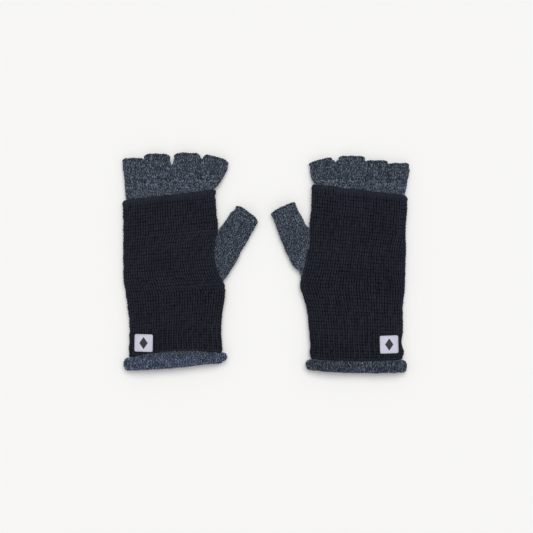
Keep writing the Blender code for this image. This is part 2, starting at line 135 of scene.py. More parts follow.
class Outline:
    """The plan silhouette of some CAD nodes, seen along a plan direction."""

    def __init__(self, glove, nodes, turn=0.0):
        self.turn = turn
        edges = glove.edges_of(*nodes)
        self.edges = np.concatenate([self.turned(edges[..., :2]), edges[..., 2:]], axis=-1)

    def turned(self, plan):
        """Plan points in axes turned so that the tube runs straight up."""
        c, s = math.cos(self.turn), math.sin(self.turn)
        across, up = plan[..., 0], plan[..., 1]
        return np.stack([across * c - up * s, across * s + up * c], axis=-1)

    def turned_back(self, plan):
        """The reverse of turned."""
        c, s = math.cos(self.turn), math.sin(self.turn)
        across, up = plan[..., 0], plan[..., 1]
        return np.stack([across * c + up * s, up * c - across * s], axis=-1)

    def reach(self, levels, side):
        """How far across the silhouette goes at each level, on the thumb side (1) or not (-1)."""
        start, end = self.edges[:, 0], self.edges[:, 1]
        found = []
        for level in levels:
            above = (start[:, 1] - level) * (end[:, 1] - level) <= 0
            a, b = start[above], end[above]
            run = np.where(np.abs(b[:, 1] - a[:, 1]) < 1e-9, 1.0, b[:, 1] - a[:, 1])
            share = np.clip((level - a[:, 1]) / run, 0, 1)
            across = a[:, 0] + (b[:, 0] - a[:, 0]) * share
            found.append(side * (side * across).max() if len(across) else np.nan)
        found = np.array(found)
        known = ~np.isnan(found)
        return np.interp(levels, np.asarray(levels)[known], found[known])

    def end(self, side, top, strip=5.0):
        """The level where one side edge of the silhouette ends, at the top (1) or bottom (-1)."""
        points = self.edges.reshape(-1, 3)
        outer = (side * points[:, 0]).max()
        near = points[side * points[:, 0] > outer - strip]
        return top * (top * near[:, 1]).max()


def lerp(first, second, share):
    """The value a share of the way from first to second."""
    return first + (second - first) * share


def eased(share):
    """A share from 0 to 1 that starts and stops gently."""
    return share * share * (3 - 2 * share)


def swelling(share):
    """A number that rises from 0 to 1 halfway along and falls back to 0."""
    return 4 * share * (1 - share)


def fading(distance, reach):
    """A number that falls from 1 to 0 over a reach and stays there."""
    return np.maximum(0, 1 - distance / reach) ** 2


def smooth(values, window):
    """Running mean that keeps the end values."""
    if window < 2:
        return values
    padded = np.concatenate([np.full(window, values[0]), values, np.full(window, values[-1])])
    kernel = np.hanning(2 * window + 1)
    return np.convolve(padded, kernel / kernel.sum(), "same")[window:-window]


# ---------------------------------------------------------------- fabric sheets


class Sheet:
    """A fabric's middle surface: a grid of plan points, around the tube and along it."""

    def __init__(self, grid, closed):
        self.grid = grid
        self.closed = closed
        around = np.gradient(grid, axis=1)
        if closed:
            around[:, 0] = around[:, -1] = (grid[:, 1] - grid[:, -2]) / 2
        along = np.gradient(grid, axis=0)
        normals = np.cross(along, around)
        length = np.linalg.norm(normals, axis=-1, keepdims=True)
        self.normals = normals / np.maximum(length, 1e-9)

    def at(self, u, v):
        """Points and outward normals at shares u around and v along, by bilinear interpolation."""
        rows, columns = self.grid.shape[:2]
        u = np.mod(u, 1.0) if self.closed else np.clip(u, 0, 1)
        x = u * (columns - 1)
        y = v * (rows - 1)
        i = np.clip(x.astype(int), 0, columns - 2)
        j = np.clip(y.astype(int), 0, rows - 2)
        s, t = (x - i)[..., None], (y - j)[..., None]
        weights = ((1 - s) * (1 - t), s * (1 - t), (1 - s) * t, s * t)
        picks = ((j, i), (j, i + 1), (j + 1, i), (j + 1, i + 1))
        point = sum(w * self.grid[p] for w, p in zip(weights, picks))
        normal = sum(w * self.normals[p] for w, p in zip(weights, picks))
        return point, normal / np.linalg.norm(normal, axis=-1, keepdims=True)


def travelled(path):
    """The distance along a path at each of its points."""
    steps = np.linalg.norm(np.diff(path, axis=0), axis=1)
    return np.concatenate([[0], np.cumsum(steps)])


def picked(path, distance, wanted):
    """The points of a path at some distances along it."""
    return np.stack([np.interp(wanted, distance, column) for column in path.T], axis=1)


def even_rows(dense, count):
    """Each row of points resampled to even spacing along its own length."""
    rows = []
    for row in dense:
        distance = travelled(row)
        rows.append(picked(row, distance, np.linspace(0, distance[-1], count)))
    return np.array(rows)


# ---------------------------------------------------------------- cross-sections


def crown(s, power):
    """A share of full height at a share s of the half width, falling to 0 at the folded edge."""
    return np.sqrt(np.maximum(0, 1 - np.abs(s) ** power))


Lie = namedtuple("Lie", "low high edge top_power low_power")


def lying_height(lie, theta):
    """Height round a flattened tube: crowned on top, flat where it rests, folded at the sides."""
    s = np.cos(theta)
    top = lie.edge + (lie.high - lie.edge) * crown(s, lie.top_power)
    base = lie.edge - (lie.edge - lie.low) * crown(s, lie.low_power)
    return np.where(np.sin(theta) >= 0, top, base)


def tube_grid(little, thumb, height, cuts=None, bow=None, corner=2, around=420, steps=1400):
    """Rows of points round a tube, from its thumb-side fold over the top and back underneath.

    little and thumb are the plan edges of each row and height(theta, row, plan) the height round
    it. cuts are the widths left open beside the thumb-side fold, on top and underneath, and bow
    is how far the middle of each row bends towards the fingertips. A higher corner power keeps
    the bend near the folds.
    """
    rows = []
    share = np.linspace(0, 1, steps)
    for row in range(len(little)):
        half = (thumb[row] - little[row]) / 2
        width = np.linalg.norm(half)
        start = end = 0.0
        if cuts is not None:
            start = math.acos(1 - cuts[0][row] / width)
            end = math.acos(1 - cuts[1][row] / width)
        theta = start + (2 * math.pi - start - end) * share
        plan = (little[row] + thumb[row]) / 2 + half * np.cos(theta)[:, None]
        if bow is not None:
            bend = bow[row] * (1 - np.abs(np.cos(theta)) ** corner)
            plan += np.array([-half[1], half[0]]) / width * bend[:, None]
        rows.append(np.column_stack([plan, height(theta, row, plan)]))
    return even_rows(rows, around)


def waves(grid, size, amount, seed):
    """A smooth wandering number for each grid point: a few long crossing waves."""
    rng = np.random.default_rng(RNG_SEED + seed)
    total = np.zeros(grid.shape[:2])
    for _ in range(6):
        angle = rng.uniform(0, math.pi)
        length = size * rng.uniform(0.7, 1.6)
        across = grid[..., 0] * math.cos(angle) + grid[..., 1] * math.sin(angle)
        total += np.sin(across * 2 * math.pi / length + rng.uniform(0, 2 * math.pi))
    return total * amount / 3


BUMP_SIZE = 6.5  # how far apart the small bumps of a folded edge are
BUMP = 0.22  # and how far they stand out


def rumple(grid, amount, size, seed):
    """Gently uneven fabric: the top rises and falls and the folded edges wander."""
    height = grid[..., 2]
    low, high = height.min(), height.max()
    lift = np.clip((height - low) / (high - low), 0, 1) ** 2
    moved = grid.copy()
    moved[..., 2] += waves(grid, size, amount, seed) * lift
    moved[..., 0] += waves(grid, size * 0.6, amount * 0.35, seed + 1)
    for axis in (0, 1):
        moved[..., axis] += waves(grid, BUMP_SIZE, BUMP, seed + 2 + axis)
    return moved


SIM_SCALE = 0.01  # simulated units to a millimetre: cloth behaves best at furniture size
SIM_FRAMES = 20
SIM_STEP = (4, 7)  # grid rows and columns to each simulated thread
SIM_SLACK = 0.012  # how much too big the cloth is


def sim_mesh(grid):
    """A mesh of a coarse grid of plan points, and the vertices on its borders and its far fold."""
    rows, columns = grid.shape[:2]
    data = bpy.data.meshes.new("draped")
    corners = (grid.reshape(-1, 3) * SIM_SCALE).tolist()
    data.from_pydata(corners, [], grid_faces(rows, columns, False)[:, ::-1].tolist())
    place = np.arange(rows * columns).reshape(rows, columns)
    held = [place[0], place[-1], place[:, 0], place[:, -1], place[:, columns // 2]]
    return data, sorted({int(vertex) for line in held for vertex in line})


def settle(grid):
    """A coarse grid after cloth simulation, with cloth a little too big for its place."""
    data, held = sim_mesh(grid)
    piece = bpy.data.objects.new("draped", data)
    bpy.context.collection.objects.link(piece)
    piece.vertex_groups.new(name="held").add(held, 1.0, "ADD")
    cloth = piece.modifiers.new("cloth", "CLOTH")
    cloth.settings.quality = 6
    cloth.settings.mass = 0.3
    cloth.settings.bending_stiffness = 0.5
    cloth.settings.shrink_min = -SIM_SLACK
    cloth.settings.effector_weights.gravity = 0.0
    cloth.settings.vertex_group_mass = "held"
    cloth.collision_settings.use_collision = False
    scene = bpy.context.scene
    for step in range(1, SIM_FRAMES + 1):
        scene.frame_set(step)
    settled = piece.evaluated_get(bpy.context.evaluated_depsgraph_get()).data
    moved = np.empty(len(settled.vertices) * 3)
    settled.vertices.foreach_get("co", moved)
    moved = moved.reshape(grid.shape) / SIM_SCALE
    bpy.data.objects.remove(piece)
    bpy.data.meshes.remove(data)
    scene.frame_set(1)
    return moved


def spread_out(values, rows, columns, shape):
    """Values known at some rows and columns of a grid, interpolated over all of it."""
    full = np.stack([np.interp(np.arange(shape[1]), columns, line) for line in values])
    return np.stack([np.interp(np.arange(shape[0]), rows, line) for line in full.T], axis=1)


def drape(grid, limit):
    """A tube's sheet let settle as cloth, each point moved by no more than the limit.

    No point goes below the sheet's lowest one, where it rests.
    """
    rows = np.unique(np.append(np.arange(0, grid.shape[0], SIM_STEP[0]), grid.shape[0] - 1))
    columns = np.unique(np.append(np.arange(0, grid.shape[1], SIM_STEP[1]), grid.shape[1] - 1))
    coarse = grid[np.ix_(rows, columns)]
    moved = settle(coarse) - coarse
    for axis in (0, 1):
        moved = np.apply_along_axis(smooth, axis, moved, 2)
    distance = np.linalg.norm(moved, axis=-1, keepdims=True)
    moved *= limit * np.tanh(distance / limit) / np.maximum(distance, 1e-9)
    shift = [spread_out(moved[..., k], rows, columns, grid.shape) for k in range(3)]
    draped = grid + np.stack(shift, axis=-1)
    draped[..., 2] = np.maximum(draped[..., 2], grid[..., 2].min())
    return draped


# ---------------------------------------------------------------- meshes


class Cloth:
    """Collects the parts of one piece's mesh, in one glove's plan."""

    def __init__(self, glove, name):
        self.glove = glove
        self.name = f"{glove.name}_{name}"
        self.points = []
        self.faces = []
        self.marks = {"along": [], "row": [], "turn_x": [], "turn_y": [], "front": []}
        self.slots = []
        self.count = 0

    def add(self, points, faces, slot, along=0.0, row=0.0, turn=(0.0, 0.0), front=0.0):
        """Add vertices, faces that index them, and the yarn's marks for the material."""
        size = len(points)
        self.points.append(points)
        for part in faces:
            self.faces.append(part + self.count)
            self.slots.append(np.full(len(part), slot))
        for key, value in zip(self.marks, (along, row, turn[0], turn[1], front)):
            self.marks[key].append(np.broadcast_to(value, (size,)).astype(np.float32))
        self.count += size

    def build(self, materials):
        """Make the object, with one material per slot."""
        world = self.glove.world(np.concatenate(self.points))
        faces = self.faces
        if self.glove.side < 0:
            faces = [part[:, ::-1] for part in faces]
        corners = np.concatenate([part.ravel() for part in faces])
        sizes = np.concatenate([np.full(len(part), part.shape[1]) for part in faces])
        starts = np.concatenate([[0], np.cumsum(sizes)[:-1]])
        data = bpy.data.meshes.new(self.name)
        data.vertices.add(len(world))
        data.vertices.foreach_set("co", world.ravel())
        data.loops.add(len(corners))
        data.loops.foreach_set("vertex_index", corners)
        data.polygons.add(len(sizes))
        data.polygons.foreach_set("loop_start", starts)
        data.polygons.foreach_set("material_index", np.concatenate(self.slots))
        for key, values in self.marks.items():
            mark = data.attributes.new(key, "FLOAT", "POINT")
            mark.data.foreach_set("value", np.concatenate(values))
        for material in materials:
            data.materials.append(material)
        data.update(calc_edges=True)
        piece = bpy.data.objects.new(self.name, data)
        bpy.context.collection.objects.link(piece)
        return piece


def grid_faces(rows, columns, wrap):
    """Quads over a grid of rows by columns of vertices, joined round when wrap is set."""
    last = columns if wrap else columns - 1
    j, i = np.meshgrid(np.arange(rows - 1), np.arange(last), indexing="ij")
    after = (i + 1) % columns
    near, far = j * columns, (j + 1) * columns
    corners = (near + i, near + after, far + after, far + i)
    return np.stack(corners, axis=-1).reshape(-1, 4)


def unit(vectors):
    """Vectors scaled to a length of one."""
    return vectors / np.linalg.norm(vectors, axis=-1, keepdims=True)


def axes_along(path, normal, closed):
    """Sideways and upward directions at each point of a path, or of many paths."""
    if closed:
        tangent = np.roll(path, -1, axis=-2) - np.roll(path, 1, axis=-2)
    else:
        tangent = np.gradient(path, axis=-2)
    tangent = unit(tangent)
    side = unit(np.cross(tangent, normal))
    return side, np.cross(side, tangent)


def sweep(path, normal, radius, closed, sides=YARN_SIDES):
    """Round yarn along many paths at once: (paths, steps, 3) to vertices, faces and turns."""
    side, up = axes_along(path, normal, closed)
    angle = np.arange(sides) * 2 * math.pi / sides
    c, s = np.cos(angle)[:, None], np.sin(angle)[:, None]
    radius = np.broadcast_to(radius, path.shape[:2])[..., None, None]
    ring = path[:, :, None] + radius * (side[:, :, None] * c + up[:, :, None] * s)
    paths, steps = path.shape[:2]
    strip = grid_faces(steps + 1 if closed else steps, sides, True)[:, ::-1]
    strip = strip % (steps * sides)
    offsets = np.arange(paths)[:, None, None] * steps * sides
    faces = [(strip[None] + offsets).reshape(-1, 4)]
    if not closed:
        cap = np.arange(sides)
        ends = np.stack([cap, cap[::-1] + (steps - 1) * sides])
        faces.append((ends[None] + offsets).reshape(-1, sides))
    turn = np.broadcast_to(np.stack([c[:, 0], s[:, 0]]), (paths * steps, 2, sides))
    turn = turn.transpose(1, 0, 2).reshape(2, -1)
    return ring.reshape(-1, 3), faces, turn


def wobble(rng, rows, wales, share, amount):
    """A small random number for each stitch, smoothly joined along each course."""
    steps = np.floor(share).astype(int)
    blend = eased(share - steps)
    values = rng.normal(0, amount, (rows, wales))
    here = values[:, steps % wales]
    after = values[:, (steps + 1) % wales]
    return here + (after - here) * blend


def knit(cloth, sheet, gauge, wales, levels, pitch, closed=True, face=1, rib=0, seed=0):
    """Knit courses over a sheet: one looping yarn at each level, a share along the sheet.

    face is 1 with the knit side out and -1 with the purl side out. With rib at 1, every second
    wale sinks back.
    """
    rng = np.random.default_rng(RNG_SEED + seed)
    levels = np.asarray(levels)
    count = wales * YARN_STEPS + (0 if closed else 1)
    share = np.arange(count) / YARN_STEPS
    phase = 2 * math.pi * share
    ridge = rib * np.cos(math.pi * (share - 0.5))
    rows = len(levels)
    sway = wobble(rng, rows, wales, share, 0.035)
    rise = wobble(rng, rows, wales, share, 0.05)
    u = (share + gauge.swing * np.sin(2 * phase) + gauge.pull * np.sin(phase) + sway) / wales
    v = levels[:, None] + pitch * (rise - gauge.reach * np.cos(phase))
    depth = -face * (1 + RIB_RELIEF * (ridge - rib)) * gauge.depth * np.cos(2 * phase)
    depth = depth + ridge * RIB_DEPTH + wobble(rng, rows, wales, share, 0.05)
    point, normal = sheet.at(u, v)
    path = point + normal * depth[..., None]
    verts, faces, turn = sweep(path, normal, gauge.radius, closed)
    stitch = 2 * gauge.course * 1.6
    along = share * stitch + rng.uniform(0, 1000, (rows, 1))
    row = np.broadcast_to(rng.uniform(0, 1000, (rows, 1)), along.shape)
    # front, how far forward the yarn lies, is what the material turns into painted shade.
    marks = (along, row, depth / gauge.depth)
    along, row, front = (np.repeat(values.ravel(), YARN_SIDES) for values in marks)
    cloth.add(verts, faces, 0, along, row, turn, front)


def backing(cloth, sheet, step=4):
    """The closed sheet inside a layer that stops light between its stitches."""
    grid, normals = sheet.grid[::step, ::step], sheet.normals[::step, ::step]
    if sheet.closed:
        grid, normals = grid[:, :-1], normals[:, :-1]
    rows, columns = grid.shape[:2]
    outer = (grid + normals * LINER).reshape(-1, 3)
    inner = (grid - normals * LINER).reshape(-1, 3)
    skin = grid_faces(rows, columns, sheet.closed)[:, ::-1]
    size = rows * columns
    faces = [skin, skin[:, ::-1] + size]
    last = columns if sheet.closed else columns - 1
    here = np.arange(last)
    after = (here + 1) % columns
    top = (rows - 1) * columns
    faces.append(np.stack([after, here, here + size, after + size], axis=1)[:, ::-1])
    faces.append(np.stack([here, after, after + size, here + size], axis=1)[:, ::-1] + top)
    if not sheet.closed:
        low = np.arange(rows - 1) * columns
        high = low + columns
        faces.append(np.stack([low, high, high + size, low + size], axis=1)[:, ::-1])
        low, high = low + columns - 1, high + columns - 1
        faces.append(np.stack([high, low, low + size, high + size], axis=1)[:, ::-1])
    cloth.add(np.concatenate([outer, inner]), faces, 1)


def rope(cloth, path, normal, radius, pitch, strands=2, spread=0.8, closed=True, sides=6):
    """Yarns twisted round each other along a path of even steps."""
    steps = len(path)
    length = np.linalg.norm(np.roll(path, -1, axis=0) - path, axis=1)
    total = length.sum() if closed else length[:-1].sum()
    turns = max(1, round(total / pitch))
    travel = np.arange(steps) / (steps if closed else steps - 1)
    side, up = axes_along(path, normal, closed)
    strand_paths = []
    for strand in range(strands):
        angle = 2 * math.pi * (turns * travel + strand / strands)
        offset = side * np.cos(angle)[:, None] + up * np.sin(angle)[:, None]
        strand_paths.append(path + offset * radius * spread)
    normals = np.broadcast_to(up, (strands, steps, 3))
    verts, faces, turn = sweep(np.array(strand_paths), normals, radius, closed, sides)
    along = np.tile(np.repeat(travel * total, sides), strands)
    row = np.repeat(np.arange(strands) * 31.7, steps * sides)
    cloth.add(verts, faces, 0, along, row, turn)


def place_rope(cloth, path, outward, radius, pitch, count, **options):
    """A rope along a closed path, resampled to a number of even steps."""
    ring = np.vstack([path, path[:1]])
    facing = np.vstack([outward, outward[:1]])
    distance = travelled(ring)
    wanted = np.linspace(0, distance[-1], count, endpoint=False)
    normal = unit(picked(facing, distance, wanted))
    rope(cloth, picked(ring, distance, wanted), normal, radius, pitch, **options)


def rolled(core, half_out, low, high, start, end, rows=60, columns=420):
    """The surface of a roll lying round a tube between two levels, facing out at angle 0."""
    angle = np.linspace(start, end, rows)[:, None]
    u = np.linspace(0, 1, columns)[None, :]
    level = (low + high) / 2 + (high - low) / 2 * np.sin(angle)
    level, u, angle = np.broadcast_arrays(level, u, angle)
    point, normal = core.at(u, level)
    return point + normal * (half_out * np.cos(angle))[..., None]


# ---------------------------------------------------------------- materials


class Nodes:
    """Short calls for building the node tree of a material or of the sky."""

    def __init__(self, owner):
        owner.use_nodes = True
        self.owner = owner
        self.tree = owner.node_tree

    def feed(self, socket, value):
        """Set an input to a number or colour, or join it to another node's output."""
        if isinstance(value, bpy.types.NodeSocket):
            self.tree.links.new(value, socket)
        else:
            socket.default_value = value

    def add(self, kind, inputs=(), **settings):
        """Add a node, with its inputs by name or number and its settings."""
        node = self.tree.nodes.new(f"ShaderNode{kind}")
        for name, value in settings.items():
            setattr(node, name, value)
        for key, value in dict(inputs).items():
            self.feed(node.inputs[key], value)
        return node

    def mark(self, name):
        """One of the numbers stored on the mesh's vertices."""
        return self.add("Attribute", attribute_name=name).outputs["Fac"]

    def maths(self, operation, *values):
        return self.add("Math", enumerate(values), operation=operation).outputs[0]

    def vector(self, *parts):
        return self.add("CombineXYZ", enumerate(parts)).outputs[0]

    def place(self):
        """A point's place on the object, in millimetres."""
        inputs = {0: self.add("TexCoord").outputs["Object"], "Scale": 1 / METRES}
        return self.add("VectorMath", inputs, operation="SCALE").outputs[0]

    def noise(self, where, scale, detail=2.0, roughness=0.55):
        inputs = {"Vector": where, "Scale": scale, "Detail": detail, "Roughness": roughness}
        return self.add("TexNoise", inputs).outputs["Fac"]

    def ramp(self, value, stops):
        """Colours at shares of the way along a ramp."""
        node = self.add("ValToRGB", {"Fac": value})
        points = node.color_ramp.elements
        while len(points) < len(stops):
            points.new(0.5)
        for point, (position, colour) in zip(points, stops):
            point.position = position
            point.color = (*colour, 1.0)
        return node.outputs["Color"]

    def scaled(self, colour, factor):
        """A colour made lighter or darker by a number."""
        inputs = {0: colour, "Scale": factor}
        return self.add("VectorMath", inputs, operation="SCALE").outputs[0]

    def bump(self, height, distance):
        """Fine relief of a height in millimetres."""
        inputs = {"Strength": 1.0, "Distance": distance * METRES, "Height": height}
        self.finish(Normal=self.add("Bump", inputs).outputs["Normal"])

    def sheen(self, weight, tint):
        """A soft shine at grazing angles, as fibres give."""
        values = {"Sheen Weight": weight, "Sheen Roughness": 0.45, "Sheen Tint": (*tint, 1.0)}
        self.finish(**values)

    def finish(self, **values):
        """Feed inputs of the material's own shader, and return the material."""
        shader = self.tree.nodes["Principled BSDF"]
        for name, value in values.items():
            self.feed(shader.inputs[name], value)
        return self.owner


def new_material(name):
    """The node tree of a new material."""
    return Nodes(bpy.data.materials.new(name))


# How fast the yarn's painted shade deepens as it lies further back in the fabric.
PAINTED_SHADE_SLOPE = 0.6


def yarn_material(name, stops, fleck, twist, sheen, gloss, painted_shade_floor):
    """Plied yarn: flecks of mixed fibre along it, a twist and fibres that stand up, and painted
    shade where it lies deep in the fabric.
    """
    nodes = new_material(name)
    along, row = nodes.mark("along"), nodes.mark("row")
    turn_x, turn_y = nodes.mark("turn_x"), nodes.mark("turn_y")
    around = nodes.maths("MULTIPLY", turn_x, 0.9)
    mix_at = nodes.vector(nodes.maths("DIVIDE", along, fleck), row, around)
    mixed = nodes.noise(mix_at, 1.0, detail=3.0, roughness=0.6)
    patches = nodes.noise(nodes.place(), 0.05)
    shade = nodes.maths("MULTIPLY_ADD", patches, 0.5, 0.75)
    # Painted shade: yarn lying further back in the fabric, and the inward side of each yarn, are
    # coloured darker to stand in for the shade between stitches. The last argument is the share of
    # colour kept where this painted shade is deepest.
    raised = nodes.maths("MULTIPLY_ADD", turn_y, 0.5, nodes.mark("front"))
    lit = nodes.maths("MULTIPLY_ADD", raised, PAINTED_SHADE_SLOPE, 0.5)
    lit = nodes.maths("MINIMUM", nodes.maths("MAXIMUM", lit, 0.0), 1.0)
    shade = nodes.maths("MULTIPLY", shade, nodes.maths("MULTIPLY_ADD", lit, 1 - painted_shade_floor, painted_shade_floor))
    colour = nodes.scaled(nodes.ramp(mixed, stops), shade)
    spin = nodes.maths("MULTIPLY", along, 2 * math.pi / twist)
    ply = nodes.maths(
        "SUBTRACT",
        nodes.maths("MULTIPLY", turn_x, nodes.maths("COSINE", spin)),
        nodes.maths("MULTIPLY", turn_y, nodes.maths("SINE", spin)),
    )
    fibre_at = nodes.vector(
        nodes.maths("MULTIPLY", along, 2.0),
        nodes.maths("MULTIPLY_ADD", turn_x, 3.0, row),
        nodes.maths("MULTIPLY", turn_y, 3.0),
    )
    fibres = nodes.noise(fibre_at, 1.0, detail=4.0)
    nodes.bump(nodes.maths("MULTIPLY_ADD", ply, 0.5, fibres), 0.16)
    nodes.sheen(sheen, (0.75, 0.8, 0.95))
    look = {"Base Color": colour, "Roughness": 0.9, "Specular IOR Level": gloss}
    return nodes.finish(**look)


def backing_material(name, colour):
    """The cloth seen deep between the stitches and inside the tubes, coloured darker than its yarn
    as painted shade.
    """
    nodes = new_material(name)
    grain = nodes.noise(nodes.place(), 0.9, detail=3.0)
    shade = nodes.maths("MULTIPLY_ADD", grain, 0.8, 0.6)
    nodes.bump(grain, 0.5)
    plain = nodes.add("RGB").outputs[0]
    plain.default_value = (*colour, 1.0)
    look = {"Base Color": nodes.scaled(plain, shade), "Roughness": 0.95, "Specular IOR Level": 0.05}
    return nodes.finish(**look)


def grey_blue(scale, blue=1.0):
    """The melange yarn's mix of fibres, from dark to pale."""
    mix = (
        (0.38, (0.012, 0.015, 0.021)),
        (0.47, (0.036, 0.045, 0.063)),
        (0.54, (0.084, 0.105, 0.142)),
        (0.63, (0.270, 0.322, 0.400)),
    )
    tint = np.array([scale, scale, scale * blue])
    return [(stop, tint * colour) for stop, colour in mix]


def navy(scale):
    """The sleeve yarn's nearly even navy-black."""
    mix = (
        (0.30, (0.013, 0.015, 0.021)),
        (0.55, (0.021, 0.024, 0.034)),
        (0.75, (0.031, 0.036, 0.049)),
    )
    return [(stop, scale * np.array(colour)) for stop, colour in mix]


SLEEVE_YARN = yarn_material("sleeve_yarn", navy(1.28), 4.0, 3.6, 0.0, 0.05, 0.0)
GLOVE_YARN = yarn_material("glove_yarn", grey_blue(0.95), 1.05, 3.2, 0.03, 0.1, 0.25)
# Each backing is painted far darker than its yarn, the sleeve's nearly black: painted shade for the
# deep gaps between stitches.
SLEEVE_BACKING = backing_material("sleeve_backing", (0.003, 0.003, 0.004))
GLOVE_BACKING = backing_material("glove_backing", (0.020, 0.024, 0.033))
CUFF_BACKING = backing_material("cuff_backing", (0.034, 0.041, 0.058))
SLEEVE_LOOKS = (SLEEVE_YARN, SLEEVE_BACKING)
GLOVE_LOOKS = (GLOVE_YARN, GLOVE_BACKING)
# The two cuffs are copies of one yarn, painted lighter and bluer on the left and darker on the
# right: painted light and shade for how the light falls on each cuff.
CUFF_LOOKS = {
    "left": (
        yarn_material("left_cuff_yarn", grey_blue(1.13, 1.18), 1.1, 3.2, 0.03, 0.1, 0.5),
        CUFF_BACKING,
    ),
    "right": (
        yarn_material("right_cuff_yarn", grey_blue(0.80), 1.3, 3.2, 0.03, 0.1, 0.3),
        GLOVE_BACKING,
    ),
}
# The rims' yarn is the glove's yarn painted darker: painted shade along the open tips of the
# stalls.
RIM_LOOKS = (yarn_material("rim_yarn", grey_blue(0.7), 1.5, 3.2, 0.02, 0.1, 0.3),)
HEM_LOOKS = (yarn_material("hem_yarn", navy(1.35), 4.0, 3.6, 0.0, 0.05, 0.5), SLEEVE_BACKING)


WEFT_PICK = 0.36  # from one crosswise thread of the label to the next


def woven_material(name, pale, dark):
    """Tightly woven label cloth: fine weft picks across it and a slight shine."""
    nodes = new_material(name)
    place = nodes.place()
    across = {"Vector": place, "Scale": 1 / (WEFT_PICK * math.pi), "Distortion": 0.6}
    picks = nodes.add("TexWave", across, bands_direction="Y").outputs["Fac"]
    along = {"Vector": place, "Scale": 1 / (WEFT_PICK * 1.3 * math.pi)}
    ends = nodes.add("TexWave", along, bands_direction="X").outputs["Fac"]
    cells = nodes.maths("MULTIPLY", picks, nodes.maths("MULTIPLY_ADD", ends, 0.5, 0.5))
    worn = nodes.noise(place, 0.4, detail=3.0)
    level = nodes.maths("MULTIPLY_ADD", worn, 0.35, nodes.maths("MULTIPLY", cells, 0.65))
    nodes.bump(cells, 0.12)
    nodes.sheen(0.05, (1.0, 1.0, 1.0))
    colour = nodes.ramp(level, ((0.1, dark), (0.75, pale)))
    return nodes.finish(**{"Base Color": colour, "Roughness": 0.6, "Specular IOR Level": 0.2})


LABEL_CLOTH = woven_material("label_cloth", (0.82, 0.81, 0.93), (0.58, 0.57, 0.69))
LABEL_MARK = woven_material("label_mark", (0.062, 0.060, 0.062), (0.032, 0.031, 0.033))
THREAD_MIX = ((0.3, (0.42, 0.42, 0.52)), (0.7, (0.66, 0.65, 0.76)))
LABEL_THREAD = yarn_material("label_thread", THREAD_MIX, 1.0, 0.6, 0.0, 0.2, 0.7)


# ---------------------------------------------------------------- reading tubes from outlines


def inset_edges(little, thumb):
    """Both plan edges of each row moved inwards, from the outside of the yarn to its middle."""
    inward = (thumb - little) / np.linalg.norm(thumb - little, axis=1, keepdims=True)
    inset = inward * (FABRIC_HALF - PROUD)
    return little + inset, thumb - inset


def edge_lines(outline, levels_little, levels_thumb, window=4):
    """Plan edges of each row of a tube, from the silhouette at the levels on its two sides."""
    little = np.stack([smooth(outline.reach(levels_little, -1), window), levels_little], axis=1)
    thumb = np.stack([smooth(outline.reach(levels_thumb, 1), window), levels_thumb], axis=1)
    return little, thumb


def bridge_opening(edge, wrist, crotch, margin=1.5):
    """Straighten a thumb-side edge where the CAD silhouette dips into the thumb opening."""
    levels = edge[:, 1]
    inside = (levels > wrist[1] - margin) & (levels < crotch[1] + margin)
    edge[inside, 0] = np.interp(levels[inside], levels[~inside], edge[~inside, 0])


def heights_of(glove, node):
    """The lowest and highest levels of a CAD node above the table, in millimetres."""
    low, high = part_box(f"{glove.name}_{node}")
    return low[2] / METRES, high[2] / METRES


def finish_piece(piece, glove, slot, nodes):
    """Hide the CAD nodes that a piece stands for, and return the piece. The slot is not used."""
    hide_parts(*[f"{glove.name}_{node}" for node in nodes])
    return piece


# ---------------------------------------------------------------- the outer sleeve

SLEEVE_WALES = 78
SLEEVE_ROWS = 170  # rows of the sleeve's surface grid
LYING_POWER = 5.5  # how flat the top of a lying tube is; higher is flatter
RESTING_POWER = 9.0  # the same for the side on the table
SHAPED_SHARE = 0.3  # how much of the sleeve its hem's arch and its top's spread reach over
END_SHARE = 0.12  # how much of the sleeve thins towards each end
END_DROP = 0.9  # how far its upper side comes down there
END_LIFT = 0.6  # and its lower side goes up
SLEEVE_FOLD = 0.40  # height of the sleeve's folded sides, as a share of its thickness


